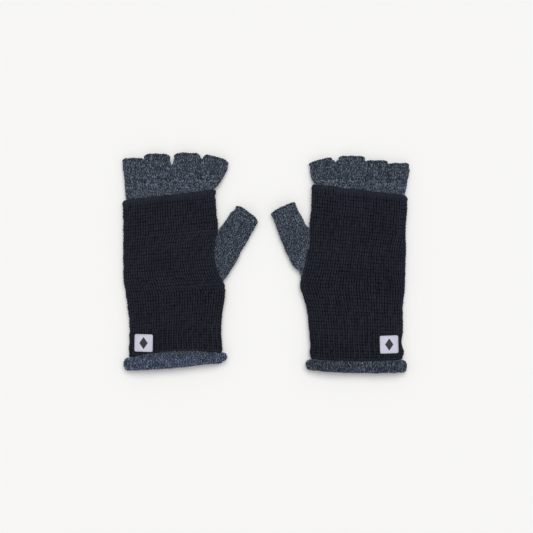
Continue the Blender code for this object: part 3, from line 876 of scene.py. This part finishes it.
class Sleeve:
    """The outer sleeve's surface and the levels where its band and hem begin."""

    def __init__(self, glove, shape):
        self.glove = glove
        band = Outline(glove, ("sleeve_rib_band",))
        hem = Outline(glove, ("sleeve_top_hem",))
        whole = Outline(glove, ("sleeve_rib_band", "sleeve_body", "sleeve_top_hem"))
        bottom = {side: band.end(side, -1) for side in (-1, 1)}
        top = {side: hem.end(side, 1) for side in (-1, 1)}
        length = {side: top[side] - bottom[side] for side in (-1, 1)}
        self.band_share = (band.end(-1, 1) - bottom[-1]) / length[-1]
        self.hem_share = (hem.end(-1, -1) - bottom[-1]) / length[-1]
        self.length = (length[-1] + length[1]) / 2
        share = np.linspace(0, 1, SLEEVE_ROWS)
        little = lerp(bottom[-1], top[-1], share)
        thumb = lerp(bottom[1], top[1], share)
        slot = glove.edges_of("thumb_opening_edge").reshape(-1, 3)
        self.crotch = slot[slot[:, 1].argmax(), :2]
        self.wrist = slot[slot[:, 1].argmin(), :2]
        little_edge, thumb_edge = edge_lines(whole, little, thumb)
        bridge_opening(thumb_edge, self.wrist, self.crotch)
        self.bottom = bottom
        little_edge[:, 0] -= shape.hem_flare * fading(1 - share, SHAPED_SHARE)
        self.top_corner = {-1: tuple(little_edge[-1]), 1: tuple(thumb_edge[-1])}
        little_edge, thumb_edge = inset_edges(little_edge, thumb_edge)
        travel = np.clip((thumb - self.wrist[1]) / (self.crotch[1] - self.wrist[1]), 0, 1)
        swell = swelling(travel)
        self.open_rows = (travel > 0) & (travel < 1)
        cuts = (HAIRLINE + shape.back_depth * swell, HAIRLINE + shape.palm_depth * swell)
        low, high = heights_of(glove, "sleeve_body")
        ends = fading(np.minimum(share, 1 - share), END_SHARE)
        tops = high - FABRIC_HALF - 0.2 - END_DROP * ends
        bases = low + FABRIC_HALF + END_LIFT * ends
        edge = lerp(low, high, SLEEVE_FOLD)

        def height(theta, row, plan):
            lie = Lie(bases[row], tops[row], edge, LYING_POWER, RESTING_POWER)
            return lying_height(lie, theta)

        arch = shape.hem_arch * fading(share, SHAPED_SHARE)
        grid = tube_grid(little_edge, thumb_edge, height, cuts, arch)
        grid = drape(rumple(grid, 0.3, 38.0, 1 if glove.side > 0 else 5), 1.0)
        self.closed = Sheet(grid, True)
        self.open = Sheet(grid, False)

    def level_is_open(self, level):
        return self.open_rows[np.round(np.clip(level, 0, 1) * (SLEEVE_ROWS - 1)).astype(int)]


BAND_TIGHTNESS = 0.86  # height of the ribbed band's stitches against the body's
EDGE_RADIUS = 0.6  # of each of the two yarns twisted round an edge
HEM_COURSES = 7  # rows of stitches round the rolled hem


def add_sleeve(sleeve):
    """The sleeve's body, ribbed band, rolled top hem and the bound edge of its thumb opening."""
    glove = sleeve.glove
    body = Cloth(glove, "outer_sleeve")
    first, last = sleeve.band_share, sleeve.hem_share
    count = round((last - first) * sleeve.length / SLEEVE_KNIT.course)
    share = (np.arange(count) + 0.5) / count
    levels = lerp(first, last, share)
    pitch = (last - first) / count
    is_open = sleeve.level_is_open(levels)
    whole, split = levels[~is_open], levels[is_open]
    knit(body, sleeve.closed, SLEEVE_KNIT, SLEEVE_WALES, whole, pitch, seed=20)
    knit(body, sleeve.open, SLEEVE_KNIT, SLEEVE_WALES, split, pitch, closed=False, seed=21)
    backing(body, sleeve.open)

    band = Cloth(glove, "ribbed_band")
    rows = round(first * sleeve.length / (SLEEVE_KNIT.course * BAND_TIGHTNESS))
    levels = (np.arange(rows) + 0.6) / rows * first
    knit(band, sleeve.closed, SLEEVE_KNIT, SLEEVE_WALES, levels, first / rows, rib=1, seed=22)
    edge = sleeve.closed.grid[1, :-1]
    place_rope(band, edge, sleeve.closed.normals[1, :-1], EDGE_RADIUS, 4.0, 900)

    hem = Cloth(glove, "top_hem")
    lap = 1.2  # how far past a full turn the roll goes at each end, in radians
    surface = rolled(sleeve.closed, 1.0, last - 0.004, 0.996, -lap, 2 * math.pi + lap)
    courses = (np.arange(HEM_COURSES) + 0.5) / HEM_COURSES
    turns = (lap + courses * 2 * math.pi) / (2 * math.pi + 2 * lap)
    fine = SLEEVE_KNIT._replace(radius=0.46, depth=0.22, reach=0.86, swing=0.2)
    knit(hem, Sheet(surface, True), fine, SLEEVE_WALES, turns, 1 / 9.5, seed=23)
    backing(hem, Sheet(surface[::4], True))

    edging = Cloth(glove, "thumb_opening_edging")
    rows = np.flatnonzero(sleeve.open_rows)
    rows = np.concatenate([[rows[0] - 1], rows, [rows[-1] + 1]])
    back = rows[::-1]
    path = np.concatenate([sleeve.open.grid[rows, 0], sleeve.open.grid[back, -1]])
    facing = np.concatenate([sleeve.open.normals[rows, 0], sleeve.open.normals[back, -1]])
    place_rope(edging, path, facing, EDGE_RADIUS, 3.4, 500)
    parts = (
        (body, "sleeve_body"),
        (band, "sleeve_rib_band"),
        (hem, "sleeve_top_hem"),
        (edging, "thumb_opening_edge"),
    )
    for part, node in parts:
        looks = HEM_LOOKS if part is hem else SLEEVE_LOOKS
        piece = finish_piece(part.build(looks), glove, "sleeve_yarn", [node])
        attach(piece, f"{glove.name}_sleeve")


# ---------------------------------------------------------------- the inner glove's hand

GLOVE_WALES = 80
HAND_ROWS = 180
HAND_INTO_CUFF = 8.5  # how far the hand's cloth goes below the upper edge of the cuff
HAND_FOLD = 0.42  # height of the hand's folded sides, as a share of its thickness
OPENING_ROOM = 2.5  # how much longer the hand's opening is than the sleeve's, at each end
OPENING_SPARE = 4.0  # and how much deeper
CUFF_MEET = 3.5  # from the cuff's outer edge in to the edge of the cloth that joins it


class Hand:
    """The inner glove's hand tube, from inside the rolled cuff to the knuckles."""

    def __init__(self, glove, sleeve, stalls, shape):
        self.glove = glove
        outline = Outline(glove, ("hand_body",))
        self.knuckle = outline.end(-1, 1)
        cuff = Outline(glove, ("rolled_cuff",))
        wrist = {side: cuff.end(side, 1) - HAND_INTO_CUFF for side in (-1, 1)}
        self.bottom = (wrist[-1] + wrist[1]) / 2
        share = np.linspace(0, 1, HAND_ROWS)
        little = lerp(wrist[-1], self.knuckle, share)
        thumb = lerp(wrist[1], self.knuckle, share)
        little_edge, thumb_edge = edge_lines(outline, little, thumb, 6)
        bridge_opening(thumb_edge, sleeve.wrist, sleeve.crotch, 4.0)
        self.flare(little_edge, -1, shape.little_flare, sleeve, stalls[0].little)
        self.flare(thumb_edge, 1, shape.thumb_flare, sleeve, stalls[-1].thumb)
        across = cuff.edges[..., 0]
        self.meet_cuff(little_edge, -1, across.min(), sleeve)
        self.meet_cuff(thumb_edge, 1, across.max(), sleeve)
        self.little_edge, self.thumb_edge = inset_edges(little_edge, thumb_edge)
        opening = sleeve.crotch[1] - sleeve.wrist[1]
        travel = (thumb - sleeve.wrist[1] + OPENING_ROOM) / (opening + 2 * OPENING_ROOM)
        swell = swelling(np.clip(travel, 0, 1))
        cut = HAIRLINE + (max(shape.back_depth, shape.palm_depth) + OPENING_SPARE) * swell
        low, high = heights_of(glove, "hand_body")
        self.low, self.high = low + FABRIC_HALF, high - FABRIC_HALF - 0.15
        self.edge = lerp(low, high, HAND_FOLD)

        def height(theta, row, plan):
            lie = Lie(self.low, self.high, self.edge, LYING_POWER, RESTING_POWER)
            return lying_height(lie, theta)

        grid = tube_grid(self.little_edge, self.thumb_edge, height, (cut, cut))
        grid = rumple(grid, 0.25, 38.0, 2 if glove.side > 0 else 6)
        self.closed = Sheet(grid, True)
        self.open = Sheet(grid, False)

    def meet_cuff(self, edge, side, outer, sleeve):
        """Spread one side edge below the sleeve, where the hand turns into the rolled cuff."""
        near = np.clip((sleeve.bottom[side] + 1.0 - edge[:, 1]) / 2.5, 0, 1)
        edge[:, 0] = lerp(edge[:, 0], outer - side * CUFF_MEET, near)

    def flare(self, edge, side, stand_out, sleeve, stall_edge):
        """Spread one side edge where the hand comes out of the sleeve and grows to the stalls."""
        top, level = sleeve.top_corner[side]
        flush = top + side * stand_out
        grown = np.interp(self.knuckle + 8.0, stall_edge[:, 1], stall_edge[:, 0])
        under = np.interp(level - 1.0, edge[:, 1], edge[:, 0])
        wanted = [level - 1.0, level + 1.5, self.knuckle]
        spread = np.interp(edge[:, 1], wanted, [under, flush, lerp(flush, grown, 0.55)])
        edge[:, 0] = np.where(edge[:, 1] > level - 1.0, spread, edge[:, 0])

    def top_at(self, across):
        """Height of the middle of the back's cloth at the knuckle line."""
        middle = (self.thumb_edge[-1, 0] + self.little_edge[-1, 0]) / 2
        half = (self.thumb_edge[-1, 0] - self.little_edge[-1, 0]) / 2
        return self.edge + (self.high - self.edge) * crown((across - middle) / half, LYING_POWER)


SEEN_COURSES = 8  # rows of stitches that can show past each end of the sleeve


def add_hand(hand):
    """The hand: yarn where it can be seen, and its backing all the way."""
    cloth = Cloth(hand.glove, "hand")
    pitch = GLOVE_KNIT.course / (hand.knuckle - hand.bottom)
    upper = 1 - pitch * (np.arange(SEEN_COURSES) + 0.5)
    lower = pitch * (np.arange(SEEN_COURSES) + 0.5)
    levels = np.concatenate([lower, upper[::-1]])
    knit(cloth, hand.closed, GLOVE_KNIT, GLOVE_WALES, levels, pitch, seed=30)
    backing(cloth, hand.open)
    piece = finish_piece(cloth.build(GLOVE_LOOKS), hand.glove, "glove_yarn", ["hand_body"])
    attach(piece, f"{hand.glove.name}_hand")


# ---------------------------------------------------------------- finger stalls

STALL_ROWS = 48  # rows and columns of a stall's surface grid
STALL_COLUMNS = 160
TIP_DROP = 1.4  # from the tip of a stall's rim down to the middle of its last row
CREASE = -0.1  # gap between neighbouring stalls where they press together
NOTCH_DEPTH = 3.5  # how far above a notch the stalls on its two sides part
STRAIGHT_SHARE = 0.65  # how much of a stall's outer edge is straight
RIM_RADIUS = 0.66  # of each yarn in a rim
RIM_PITCH = 4.7  # how far apart a rim's twists are
TIP_POWER = 10  # how square the corners of a stall's tip are


class Stall:
    """One finger stall's outline between the knuckle line and its open tip."""

    def __init__(self, glove, finger, shape):
        self.finger = finger
        outline = Outline(glove, (f"{finger}_stall", f"{finger}_hem"))
        self.base = outline.end(1, -1, 30.0)
        drop = TIP_DROP + shape.tip_corners
        self.tips = {-1: outline.end(-1, 1, 8.0) - drop, 1: outline.end(1, 1, 3.0) - drop}
        share = np.linspace(0, 1, STALL_ROWS)
        self.little, self.thumb = edge_lines(
            outline, lerp(self.base, self.tips[-1], share), lerp(self.base, self.tips[1], share)
        )


def straighten(edge, start):
    """Run a stall's outer edge straight from the hand's corner to near its tip."""
    joined = round(STRAIGHT_SHARE * STALL_ROWS)
    edge[:joined, 0] = np.linspace(start, edge[joined, 0], joined, endpoint=False)


def press_together(stalls, hand, notches):
    """Widen neighbouring stalls until they touch below the notch between them."""
    for left, right, notch in zip(stalls, stalls[1:], notches):
        for row in range(STALL_ROWS):
            level = (left.thumb[row, 1] + right.little[row, 1]) / 2
            near = eased(np.clip((notch - level) / NOTCH_DEPTH + 1.0, 0, 1))
            seam = (left.thumb[row, 0] + right.little[row, 0]) / 2
            left.thumb[row, 0] = lerp(left.thumb[row, 0], seam - CREASE, near)
            right.little[row, 0] = lerp(right.little[row, 0], seam + CREASE, near)
    straighten(stalls[0].little, hand.little_edge[-1, 0] - (FABRIC_HALF - PROUD))
    straighten(stalls[-1].thumb, hand.thumb_edge[-1, 0] + (FABRIC_HALF - PROUD))


def knit_tube(cloth, sheet, row, column, seed):
    """Knit a whole tube with stitches that fit one row and one column of its grid."""
    wales = round(travelled(sheet.grid[row])[-1] / GLOVE_KNIT.wale)
    courses = round(travelled(sheet.grid[:, column])[-1] / GLOVE_KNIT.course)
    levels = (np.arange(courses) + 0.5) / courses * (1 - 0.25 / courses)
    knit(cloth, sheet, GLOVE_KNIT, wales, levels, 1 / courses, seed=seed)
    backing(cloth, sheet, 2)


def add_rim(glove, digit, sheet, count, body):
    """The bound rim round a tube's open end: two twisted yarns in a number of steps."""
    rim = Cloth(glove, f"{digit}_rim")
    path, facing = sheet.grid[-1, :-1], sheet.normals[-1, :-1]
    place_rope(rim, path, facing, RIM_RADIUS, RIM_PITCH, count, spread=1.0)
    piece = finish_piece(rim.build(RIM_LOOKS), glove, "glove_yarn", [f"{digit}_hem"])
    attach(piece, body)


def add_stall(glove, hand, stall, shape):
    """A finger stall's tube and the bound rim round its open end."""
    node = f"{stall.finger}_stall"
    low, high = heights_of(glove, node)
    tip_low, tip_high = low + FABRIC_HALF, high - FABRIC_HALF - 2.4
    little, thumb = inset_edges(stall.little, stall.thumb)

    def height(theta, row, plan):
        grown = row / (STALL_ROWS - 1)
        ease = eased(grown)
        top = lerp(hand.top_at(plan[:, 0]), tip_high, ease)
        base = lerp(hand.low, tip_low, ease)
        edge = lerp(hand.edge, lerp(tip_low, tip_high, 0.45), ease)
        power = lerp(7.0, 2.3, min(1.0, grown * 2.4))
        s = np.cos(theta)
        over = edge + (top - edge) * crown(s, power)
        under = edge - (edge - base) * crown(s, max(power, 4.0))
        return np.where(np.sin(theta) >= 0, over, under)

    share = np.linspace(0, 1, STALL_ROWS)
    corners = shape.tip_corners * share**4
    grid = tube_grid(little, thumb, height, None, corners, TIP_POWER, STALL_COLUMNS, 600)
    grid = rumple(grid, 0.3, 14.0, 40 + glove.side + FINGERS.index(stall.finger))
    sheet = Sheet(grid, True)
    cloth = Cloth(glove, f"{stall.finger}_stall")
    seed = 50 + 10 * FINGERS.index(stall.finger)
    knit_tube(cloth, sheet, STALL_ROWS // 2, STALL_COLUMNS // 2, seed)
    piece = finish_piece(cloth.build(GLOVE_LOOKS), glove, "glove_yarn", [node])
    body = f"{glove.name}_{stall.finger}_finger"
    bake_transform(piece)
    add_rim(glove, stall.finger, sheet, 260, body)


# ---------------------------------------------------------------- the thumb

THUMB_ROWS = 90
THUMB_COLUMNS = 200
THUMB_DROP = 1.6  # from the tip of the thumb's rim down to the corners of its last row
THUMB_OVERLAP = 1.5  # how far the thumb's cloth starts below the opening's wrist end
THUMB_ROOT_TOP = 8.9  # height of the thumb's cloth where it comes out from under the sleeve


def add_thumb(glove, hand, sleeve, shape):
    """The thumb stall: a tube that starts inside the hand and comes out through the sleeve."""
    turn = math.radians(shape.thumb_turn)
    outline = Outline(glove, ("thumb_gusset", "thumb_stall", "thumb_hem"), turn)
    crotch, wrist = outline.turned(sleeve.crotch), outline.turned(sleeve.wrist)
    tips = {-1: outline.end(-1, 1, 10.0) - THUMB_DROP, 1: outline.end(1, 1, 4.0) - THUMB_DROP}
    base = wrist[1] - THUMB_OVERLAP
    share = np.linspace(0, 1, THUMB_ROWS)
    inner_levels = lerp(base, tips[-1], share)
    outer_levels = lerp(base, tips[1], share)
    inner_known = np.linspace(crotch[1] + 9.0, tips[-1], 30)
    inner = np.interp(
        inner_levels,
        np.concatenate([[crotch[1]], inner_known]),
        np.concatenate([[crotch[0] + 0.8], outline.reach(inner_known, -1)]),
    )
    outer_known = np.linspace(wrist[1] + 10.0, tips[1], 40)
    outer = np.interp(
        outer_levels,
        np.concatenate([[wrist[1] - 1.0], outer_known]),
        np.concatenate([[wrist[0] - shape.thumb_room], outline.reach(outer_known, 1)]),
    )
    inner, outer = smooth(inner, 8), smooth(outer, 8)
    little = outline.turned_back(np.stack([inner, inner_levels], axis=1))
    thumb = outline.turned_back(np.stack([outer, outer_levels], axis=1))
    little, thumb = inset_edges(little, thumb)
    low, high = heights_of(glove, "thumb_stall")
    tip_low, tip_high = low + FABRIC_HALF, high - FABRIC_HALF

    def height(theta, row, plan):
        grown = row / (THUMB_ROWS - 1)
        ease = eased(np.clip((grown - 0.2) / 0.6, 0, 1))
        top = lerp(THUMB_ROOT_TOP, tip_high, ease)
        base = lerp(hand.low + 2.3, tip_low, ease)
        edge = lerp(base, top, 0.45)
        power = lerp(4.5, 2.8, ease)
        return lying_height(Lie(base, top, edge, power, power + 1.5), theta)

    grid = tube_grid(little, thumb, height, None, shape.thumb_bow * share**8, 6, THUMB_COLUMNS, 800)
    grid = drape(rumple(grid, 0.2, 18.0, 60 + glove.side), 0.6)
    sheet = Sheet(grid, True)
    cloth = Cloth(glove, "thumb_stall")
    knit_tube(cloth, sheet, THUMB_ROWS * 2 // 3, THUMB_COLUMNS // 4, 95)
    piece = cloth.build(GLOVE_LOOKS)
    finish_piece(piece, glove, "glove_yarn", ["thumb_gusset", "thumb_stall"])
    start = (sleeve.crotch + sleeve.wrist) / 2
    outward = np.array([sleeve.crotch[1] - sleeve.wrist[1], sleeve.wrist[0] - sleeve.crotch[0]])
    outward = outward / np.linalg.norm(outward)
    line = glove.world(np.array([[*start, 0.0], [*(start + outward * 14.0), 0.0]]))
    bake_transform(piece)
    add_rim(glove, "thumb", sheet, 320, f"{glove.name}_thumb")


# ---------------------------------------------------------------- the rolled cuff

CUFF_COURSES = 10
CUFF_WALES = 66
CUFF_HALF = 2.6  # half the thickness of the roll, between the middles of its two layers
# How far the cuff goes past the CAD's, on the little finger's side and on the thumb's.
CUFF_SPREAD = {"left": (2.0, 0.6), "right": (0.6, 1.2)}


def add_cuff(glove, shape):
    """The cuff: the end of the hand rolled outwards on itself, in slightly bigger loops."""
    outline = Outline(glove, ("rolled_cuff",))
    bottom = {side: outline.end(side, -1) for side in (-1, 1)}
    top = {side: outline.end(side, 1) for side in (-1, 1)}
    share = np.linspace(0, 1, 24)
    little, thumb = edge_lines(
        outline, lerp(bottom[-1], top[-1], share), lerp(bottom[1], top[1], share), 1
    )
    spread = CUFF_SPREAD[glove.name]
    little[:, 0] = little[:, 0].min() + CUFF_HALF - spread[0]
    thumb[:, 0] = thumb[:, 0].max() - CUFF_HALF + spread[1]
    little, thumb = inset_edges(little, thumb)
    low, high = heights_of(glove, "rolled_cuff")
    low, high = low + FABRIC_HALF + CUFF_HALF, high - FABRIC_HALF - CUFF_HALF

    def height(theta, row, plan):
        return lying_height(Lie(low, high, (low + high) / 2, 5.0, 7.0), theta)

    sag = shape.cuff_sag * (1 - share) ** 0.5
    grid = tube_grid(little, thumb, height, None, sag)
    grid = drape(rumple(grid, 0.4, 30.0, 8 if glove.side > 0 else 9), 0.5)
    core = Sheet(grid, True)
    margin = FABRIC_HALF / (top[-1] - bottom[-1])
    surface = rolled(core, CUFF_HALF, margin, 1 - margin, 0, 2 * math.pi, rows=90)
    sheet = Sheet(surface, True)
    cloth = Cloth(glove, "rolled_cuff")
    levels = (np.arange(CUFF_COURSES) + 0.5) / CUFF_COURSES
    pitch = 1 / CUFF_COURSES
    loops = GLOVE_KNIT._replace(reach=0.75, swing=0.2, depth=0.5, radius=0.52)
    knit(cloth, sheet, loops, CUFF_WALES, levels, pitch, seed=97)
    backing(cloth, sheet, 3)
    piece = finish_piece(cloth.build(CUFF_LOOKS[glove.name]), glove, "cuff_yarn", ["rolled_cuff"])
    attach(piece, f"{glove.name}_cuff")


# ---------------------------------------------------------------- the woven label

LABEL_HALF = 0.28  # half the label's thickness
LABEL_LIFT = 1.3  # from the middle of the band's cloth to the middle of the label
LABEL_CORNER = 1.4
MARK_GROWTH = 1.2  # the woven mark against its CAD solid


def surface_fit(sheet, low, high):
    """A smooth height over part of a sheet's upper side, as a function of plan points."""
    points = sheet.grid.reshape(-1, 3)[(sheet.normals.reshape(-1, 3)[:, 2] > 0.3)]
    inside = np.all((points[:, :2] > low - 2.0) & (points[:, :2] < high + 2.0), axis=1)
    points = points[inside]
    middle = (low + high) / 2

    def terms(plan):
        x, y = (plan - middle).T
        return np.stack([np.ones_like(x), x, y, x * x, x * y, y * y], axis=1)

    weights = np.linalg.lstsq(terms(points[:, :2]), points[:, 2], rcond=None)[0]
    return lambda plan: terms(plan.reshape(-1, 2)) @ weights


def plate(cloth, outline, height, lift, half, rings=14, slot=0):
    """A thin plate that follows a curved height: rings of an outline shrinking to its middle."""
    middle = outline.mean(axis=0)
    shares = np.concatenate([1 - np.array([0.0, 0.012, 0.04]), np.linspace(0.92, 0.04, rings)])
    bevel = np.minimum(1.0, np.array([0.45, 0.85, 1.0] + [1.0] * rings))
    top, bottom = [], []
    for share, edge in zip(shares, bevel):
        plan = middle + (outline - middle) * share
        level = height(plan) + lift
        top.append(np.column_stack([plan, level + half * edge]))
        bottom.append(np.column_stack([plan, level - half * edge]))
    count = len(outline)
    sheet = np.concatenate(bottom[::-1] + top)
    rows = len(shares) * 2
    faces = grid_faces(rows, count, True)
    caps = np.stack([np.arange(count)[::-1], np.arange(count) + (rows - 1) * count])
    cloth.add(sheet, [faces, caps], slot)


def rounded_box(middle, size, corner, tilt, steps=12, fill=16):
    """A rounded rectangle's outline, anticlockwise."""
    quarter = np.linspace(0, math.pi / 2, steps)
    points = []
    for index, (x, y) in enumerate(((1, 1), (-1, 1), (-1, -1), (1, -1))):
        angle = quarter + index * math.pi / 2
        centre = np.array([x, y]) * (size / 2 - corner)
        points.append(centre + corner * np.stack([np.cos(angle), np.sin(angle)], axis=1))
        after = ((-1, 1), (-1, -1), (1, -1), (1, 1))[index]
        start, end = points[-1][-1], np.array(after) * (size / 2 - corner)
        end = end + corner * np.array([math.cos(angle[-1]), math.sin(angle[-1])])
        points.append(lerp(start, end, (np.arange(1, fill) / fill)[:, None]))
    points = np.concatenate(points)
    c, s = math.cos(tilt), math.sin(tilt)
    return middle + points @ np.array([[c, s], [-s, c]])


def add_label(glove, sleeve, shape):
    """The woven label on the ribbed band, its plain diamond mark and the stitches that hold it."""
    low, high = (np.array(corner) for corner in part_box(f"{glove.name}_woven_label"))
    corners = glove.plan(np.array([low, high]))
    low, high = corners.min(axis=0)[:2], corners.max(axis=0)[:2]
    middle, size = (low + high) / 2, high - low
    height = surface_fit(sleeve.closed, low, high)
    tilt = math.radians(shape.label_tilt)
    label = Cloth(glove, "woven_label")
    outline = rounded_box(middle, size - 0.5, LABEL_CORNER, tilt)
    plate(label, outline, height, LABEL_LIFT, LABEL_HALF)
    mark_low, mark_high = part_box(f"{glove.name}_label_motif")
    mark_size = (np.array(mark_high) - np.array(mark_low))[:2] / METRES
    mark = Cloth(glove, "label_mark")
    diamond = np.array([[0.5, 0], [0, 0.5], [-0.5, 0], [0, -0.5]]) * mark_size * MARK_GROWTH
    sides = [lerp(diamond[k], diamond[(k + 1) % 4], np.arange(10)[:, None] / 10) for k in range(4)]
    outline = middle + np.concatenate(sides)
    plate(mark, outline, height, LABEL_LIFT + LABEL_HALF, 0.12, rings=6)
    thread = Cloth(glove, "label_stitches")
    inner = rounded_box(middle, size - 2.0, LABEL_CORNER * 0.6, tilt, 6, 24)
    inner = np.vstack([inner, inner[:1]])
    travel = travelled(inner)
    stitches = round(travel[-1] / 2.3)
    for stitch in range(stitches):
        at = (stitch + np.linspace(0.12, 0.74, 9)) / stitches * travel[-1]
        plan = picked(inner, travel, at)
        rise = np.sin(np.linspace(0, math.pi, 9)) * 0.22 - 0.08
        level = height(plan) + LABEL_LIFT + LABEL_HALF + rise
        path = np.column_stack([plan, level])[None]
        facing = np.broadcast_to([0.0, 0.0, 1.0], path.shape)
        verts, faces, turn = sweep(path, facing, 0.16, False, 6)
        thread.add(verts, faces, 0, np.repeat(at, 6), 0.0, turn, 1.0)
    parts = (
        (label, "woven_label", "label_cloth", LABEL_CLOTH),
        (mark, "label_motif", "label_mark", LABEL_MARK),
        (thread, "label_stitching", "label_thread", LABEL_THREAD),
    )
    for part, node, slot, look in parts:
        piece = finish_piece(part.build([look]), glove, slot, [node])
        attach(piece, f"{glove.name}_sleeve")


# ---------------------------------------------------------------- the stage


LIGHT_STRENGTH = 1.75
SKY_STRENGTH = 0.95
SKY_FOCUS = 2.0  # how much of the sky's light comes from overhead
BACKDROP = 0.88  # how bright the sky looks to the camera


def follow_tips(floor):
    """Keep the floor under the lowest tip: a bent stall reaches below where the gloves rest."""
    follower = floor.driver_add("location", 2).driver
    tips = []
    for side in ("left", "right"):
        for digit in (*(f"{finger}_finger" for finger in FINGERS), "thumb"):
            low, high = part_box(f"{side}_{digit.removesuffix('_finger')}_hem")
            tip = bpy.data.objects.new(f"{side}_{digit}_tip", None)
            tip.parent = frame["bodies"][f"{side}_{digit}"]
            tip.location = ((low[0] + high[0]) / 2, high[1], 0.0)
            bpy.context.collection.objects.link(tip)
            height = follower.variables.new()
            height.name = tip.name
            height.type = "TRANSFORMS"
            height.targets[0].id = tip
            height.targets[0].transform_type = "LOC_Z"
            height.targets[0].transform_space = "WORLD_SPACE"
            tips.append(tip.name)
    follower.expression = f"min(0, {', '.join(tips)})"


def add_sky():
    """Even light from above, strongest overhead, behind a plain pale backdrop."""
    world = bpy.data.worlds.new("studio_sky")
    bpy.context.scene.world = world
    nodes = Nodes(world)
    facing = nodes.add("TexCoord").outputs["Generated"]
    upward = nodes.add("SeparateXYZ", {0: facing}).outputs["Z"]
    lit = nodes.maths("POWER", nodes.maths("MAXIMUM", upward, 0.0), SKY_FOCUS)
    light = nodes.maths("MULTIPLY", lit, SKY_STRENGTH)
    seen = nodes.add("LightPath").outputs["Is Camera Ray"]
    mixed = nodes.add("Mix", {0: seen, 2: light, 3: BACKDROP}).outputs[0]
    sky = nodes.tree.nodes["Background"]
    nodes.feed(sky.inputs["Color"], (0.98, 0.99, 1.0, 1.0))
    nodes.feed(sky.inputs["Strength"], mixed)


def add_stage():
    """A pale floor, soft light from above and a camera looking straight down."""
    bpy.ops.mesh.primitive_plane_add(size=8.0, location=(0, 0, 0))
    floor = bpy.context.active_object
    floor.name = "studio_floor"
    paper = {"Base Color": (0.93, 0.92, 0.905, 1.0), "Roughness": 0.9}
    floor.data.materials.append(new_material("studio_paper").finish(**paper))
    follow_tips(floor)
    add_sky()

    lamp = bpy.data.lights.new("soft_light", "SUN")
    lamp.energy = LIGHT_STRENGTH
    lamp.angle = math.radians(38)
    soft_light = bpy.data.objects.new("soft_light", lamp)
    soft_light.rotation_euler = (math.radians(-16), math.radians(3), 0)
    bpy.context.collection.objects.link(soft_light)

    lens = bpy.data.cameras.new("camera")
    lens.lens = 120.0
    lens.sensor_width = 36.0
    camera = bpy.data.objects.new("camera", lens)
    view_width = 0.480
    distance = view_width * lens.lens / lens.sensor_width
    camera.location = (0.0006, -0.0036, distance + 0.008)
    bpy.context.collection.objects.link(camera)
    bpy.context.scene.camera = camera
    bpy.context.scene.view_settings.view_transform = "Standard"


# How a glove lies, in millimetres and degrees:
# back_depth, palm_depth: how deep its thumb opening is on the back and on the palm
# hem_arch, cuff_sag: how far its lower hem arches up and its cuff bends, halfway across
# hem_flare: how far the sleeve's top spreads on the little finger's side
# little_flare, thumb_flare: how far the hand stands out past the sleeve's top on its two sides
# thumb_turn, label_tilt: how far the thumb leans and the label is turned
# thumb_room: how far inside the wrist end of the opening the thumb keeps
# thumb_bow: how far the thumb's tip bulges
# tip_corners: how far the corners of the finger stalls' tips drop
# notches: levels of the notches between the finger stalls, from the little finger on
Shape = namedtuple(
    "Shape",
    "back_depth palm_depth hem_arch hem_flare little_flare thumb_flare cuff_sag thumb_turn"
    " thumb_room thumb_bow label_tilt tip_corners notches",
)
SHAPES = {
    "left": Shape(
        back_depth=6.2,
        palm_depth=6.6,
        hem_arch=4.0,
        hem_flare=1.6,
        little_flare=0.3,
        thumb_flare=0.0,
        cuff_sag=-1.8,
        thumb_turn=33.0,
        thumb_room=2.8,
        thumb_bow=2.1,
        label_tilt=-1.5,
        tip_corners=2.4,
        notches=(92.1, 86.0, 92.4),
    ),
    "right": Shape(
        back_depth=1.4,
        palm_depth=9.0,
        hem_arch=-1.5,
        hem_flare=0.0,
        little_flare=1.5,
        thumb_flare=-1.1,
        cuff_sag=-1.8,
        thumb_turn=24.5,
        thumb_room=0.6,
        thumb_bow=1.2,
        label_tilt=-1.5,
        tip_corners=1.0,
        notches=(89.2, 92.2, 89.9),
    ),
}


def add_glove(glove):
    shape = SHAPES[glove.name]
    sleeve = Sleeve(glove, shape)
    stalls = [Stall(glove, finger, shape) for finger in FINGERS]
    hand = Hand(glove, sleeve, stalls, shape)
    press_together(stalls, hand, shape.notches)
    add_sleeve(sleeve)
    add_hand(hand)
    for stall in stalls:
        add_stall(glove, hand, stall, shape)
    add_thumb(glove, hand, sleeve, shape)
    add_cuff(glove, shape)
    add_label(glove, sleeve, shape)


add_glove(Glove("left", 1))
add_glove(Glove("right", -1))
add_stage()
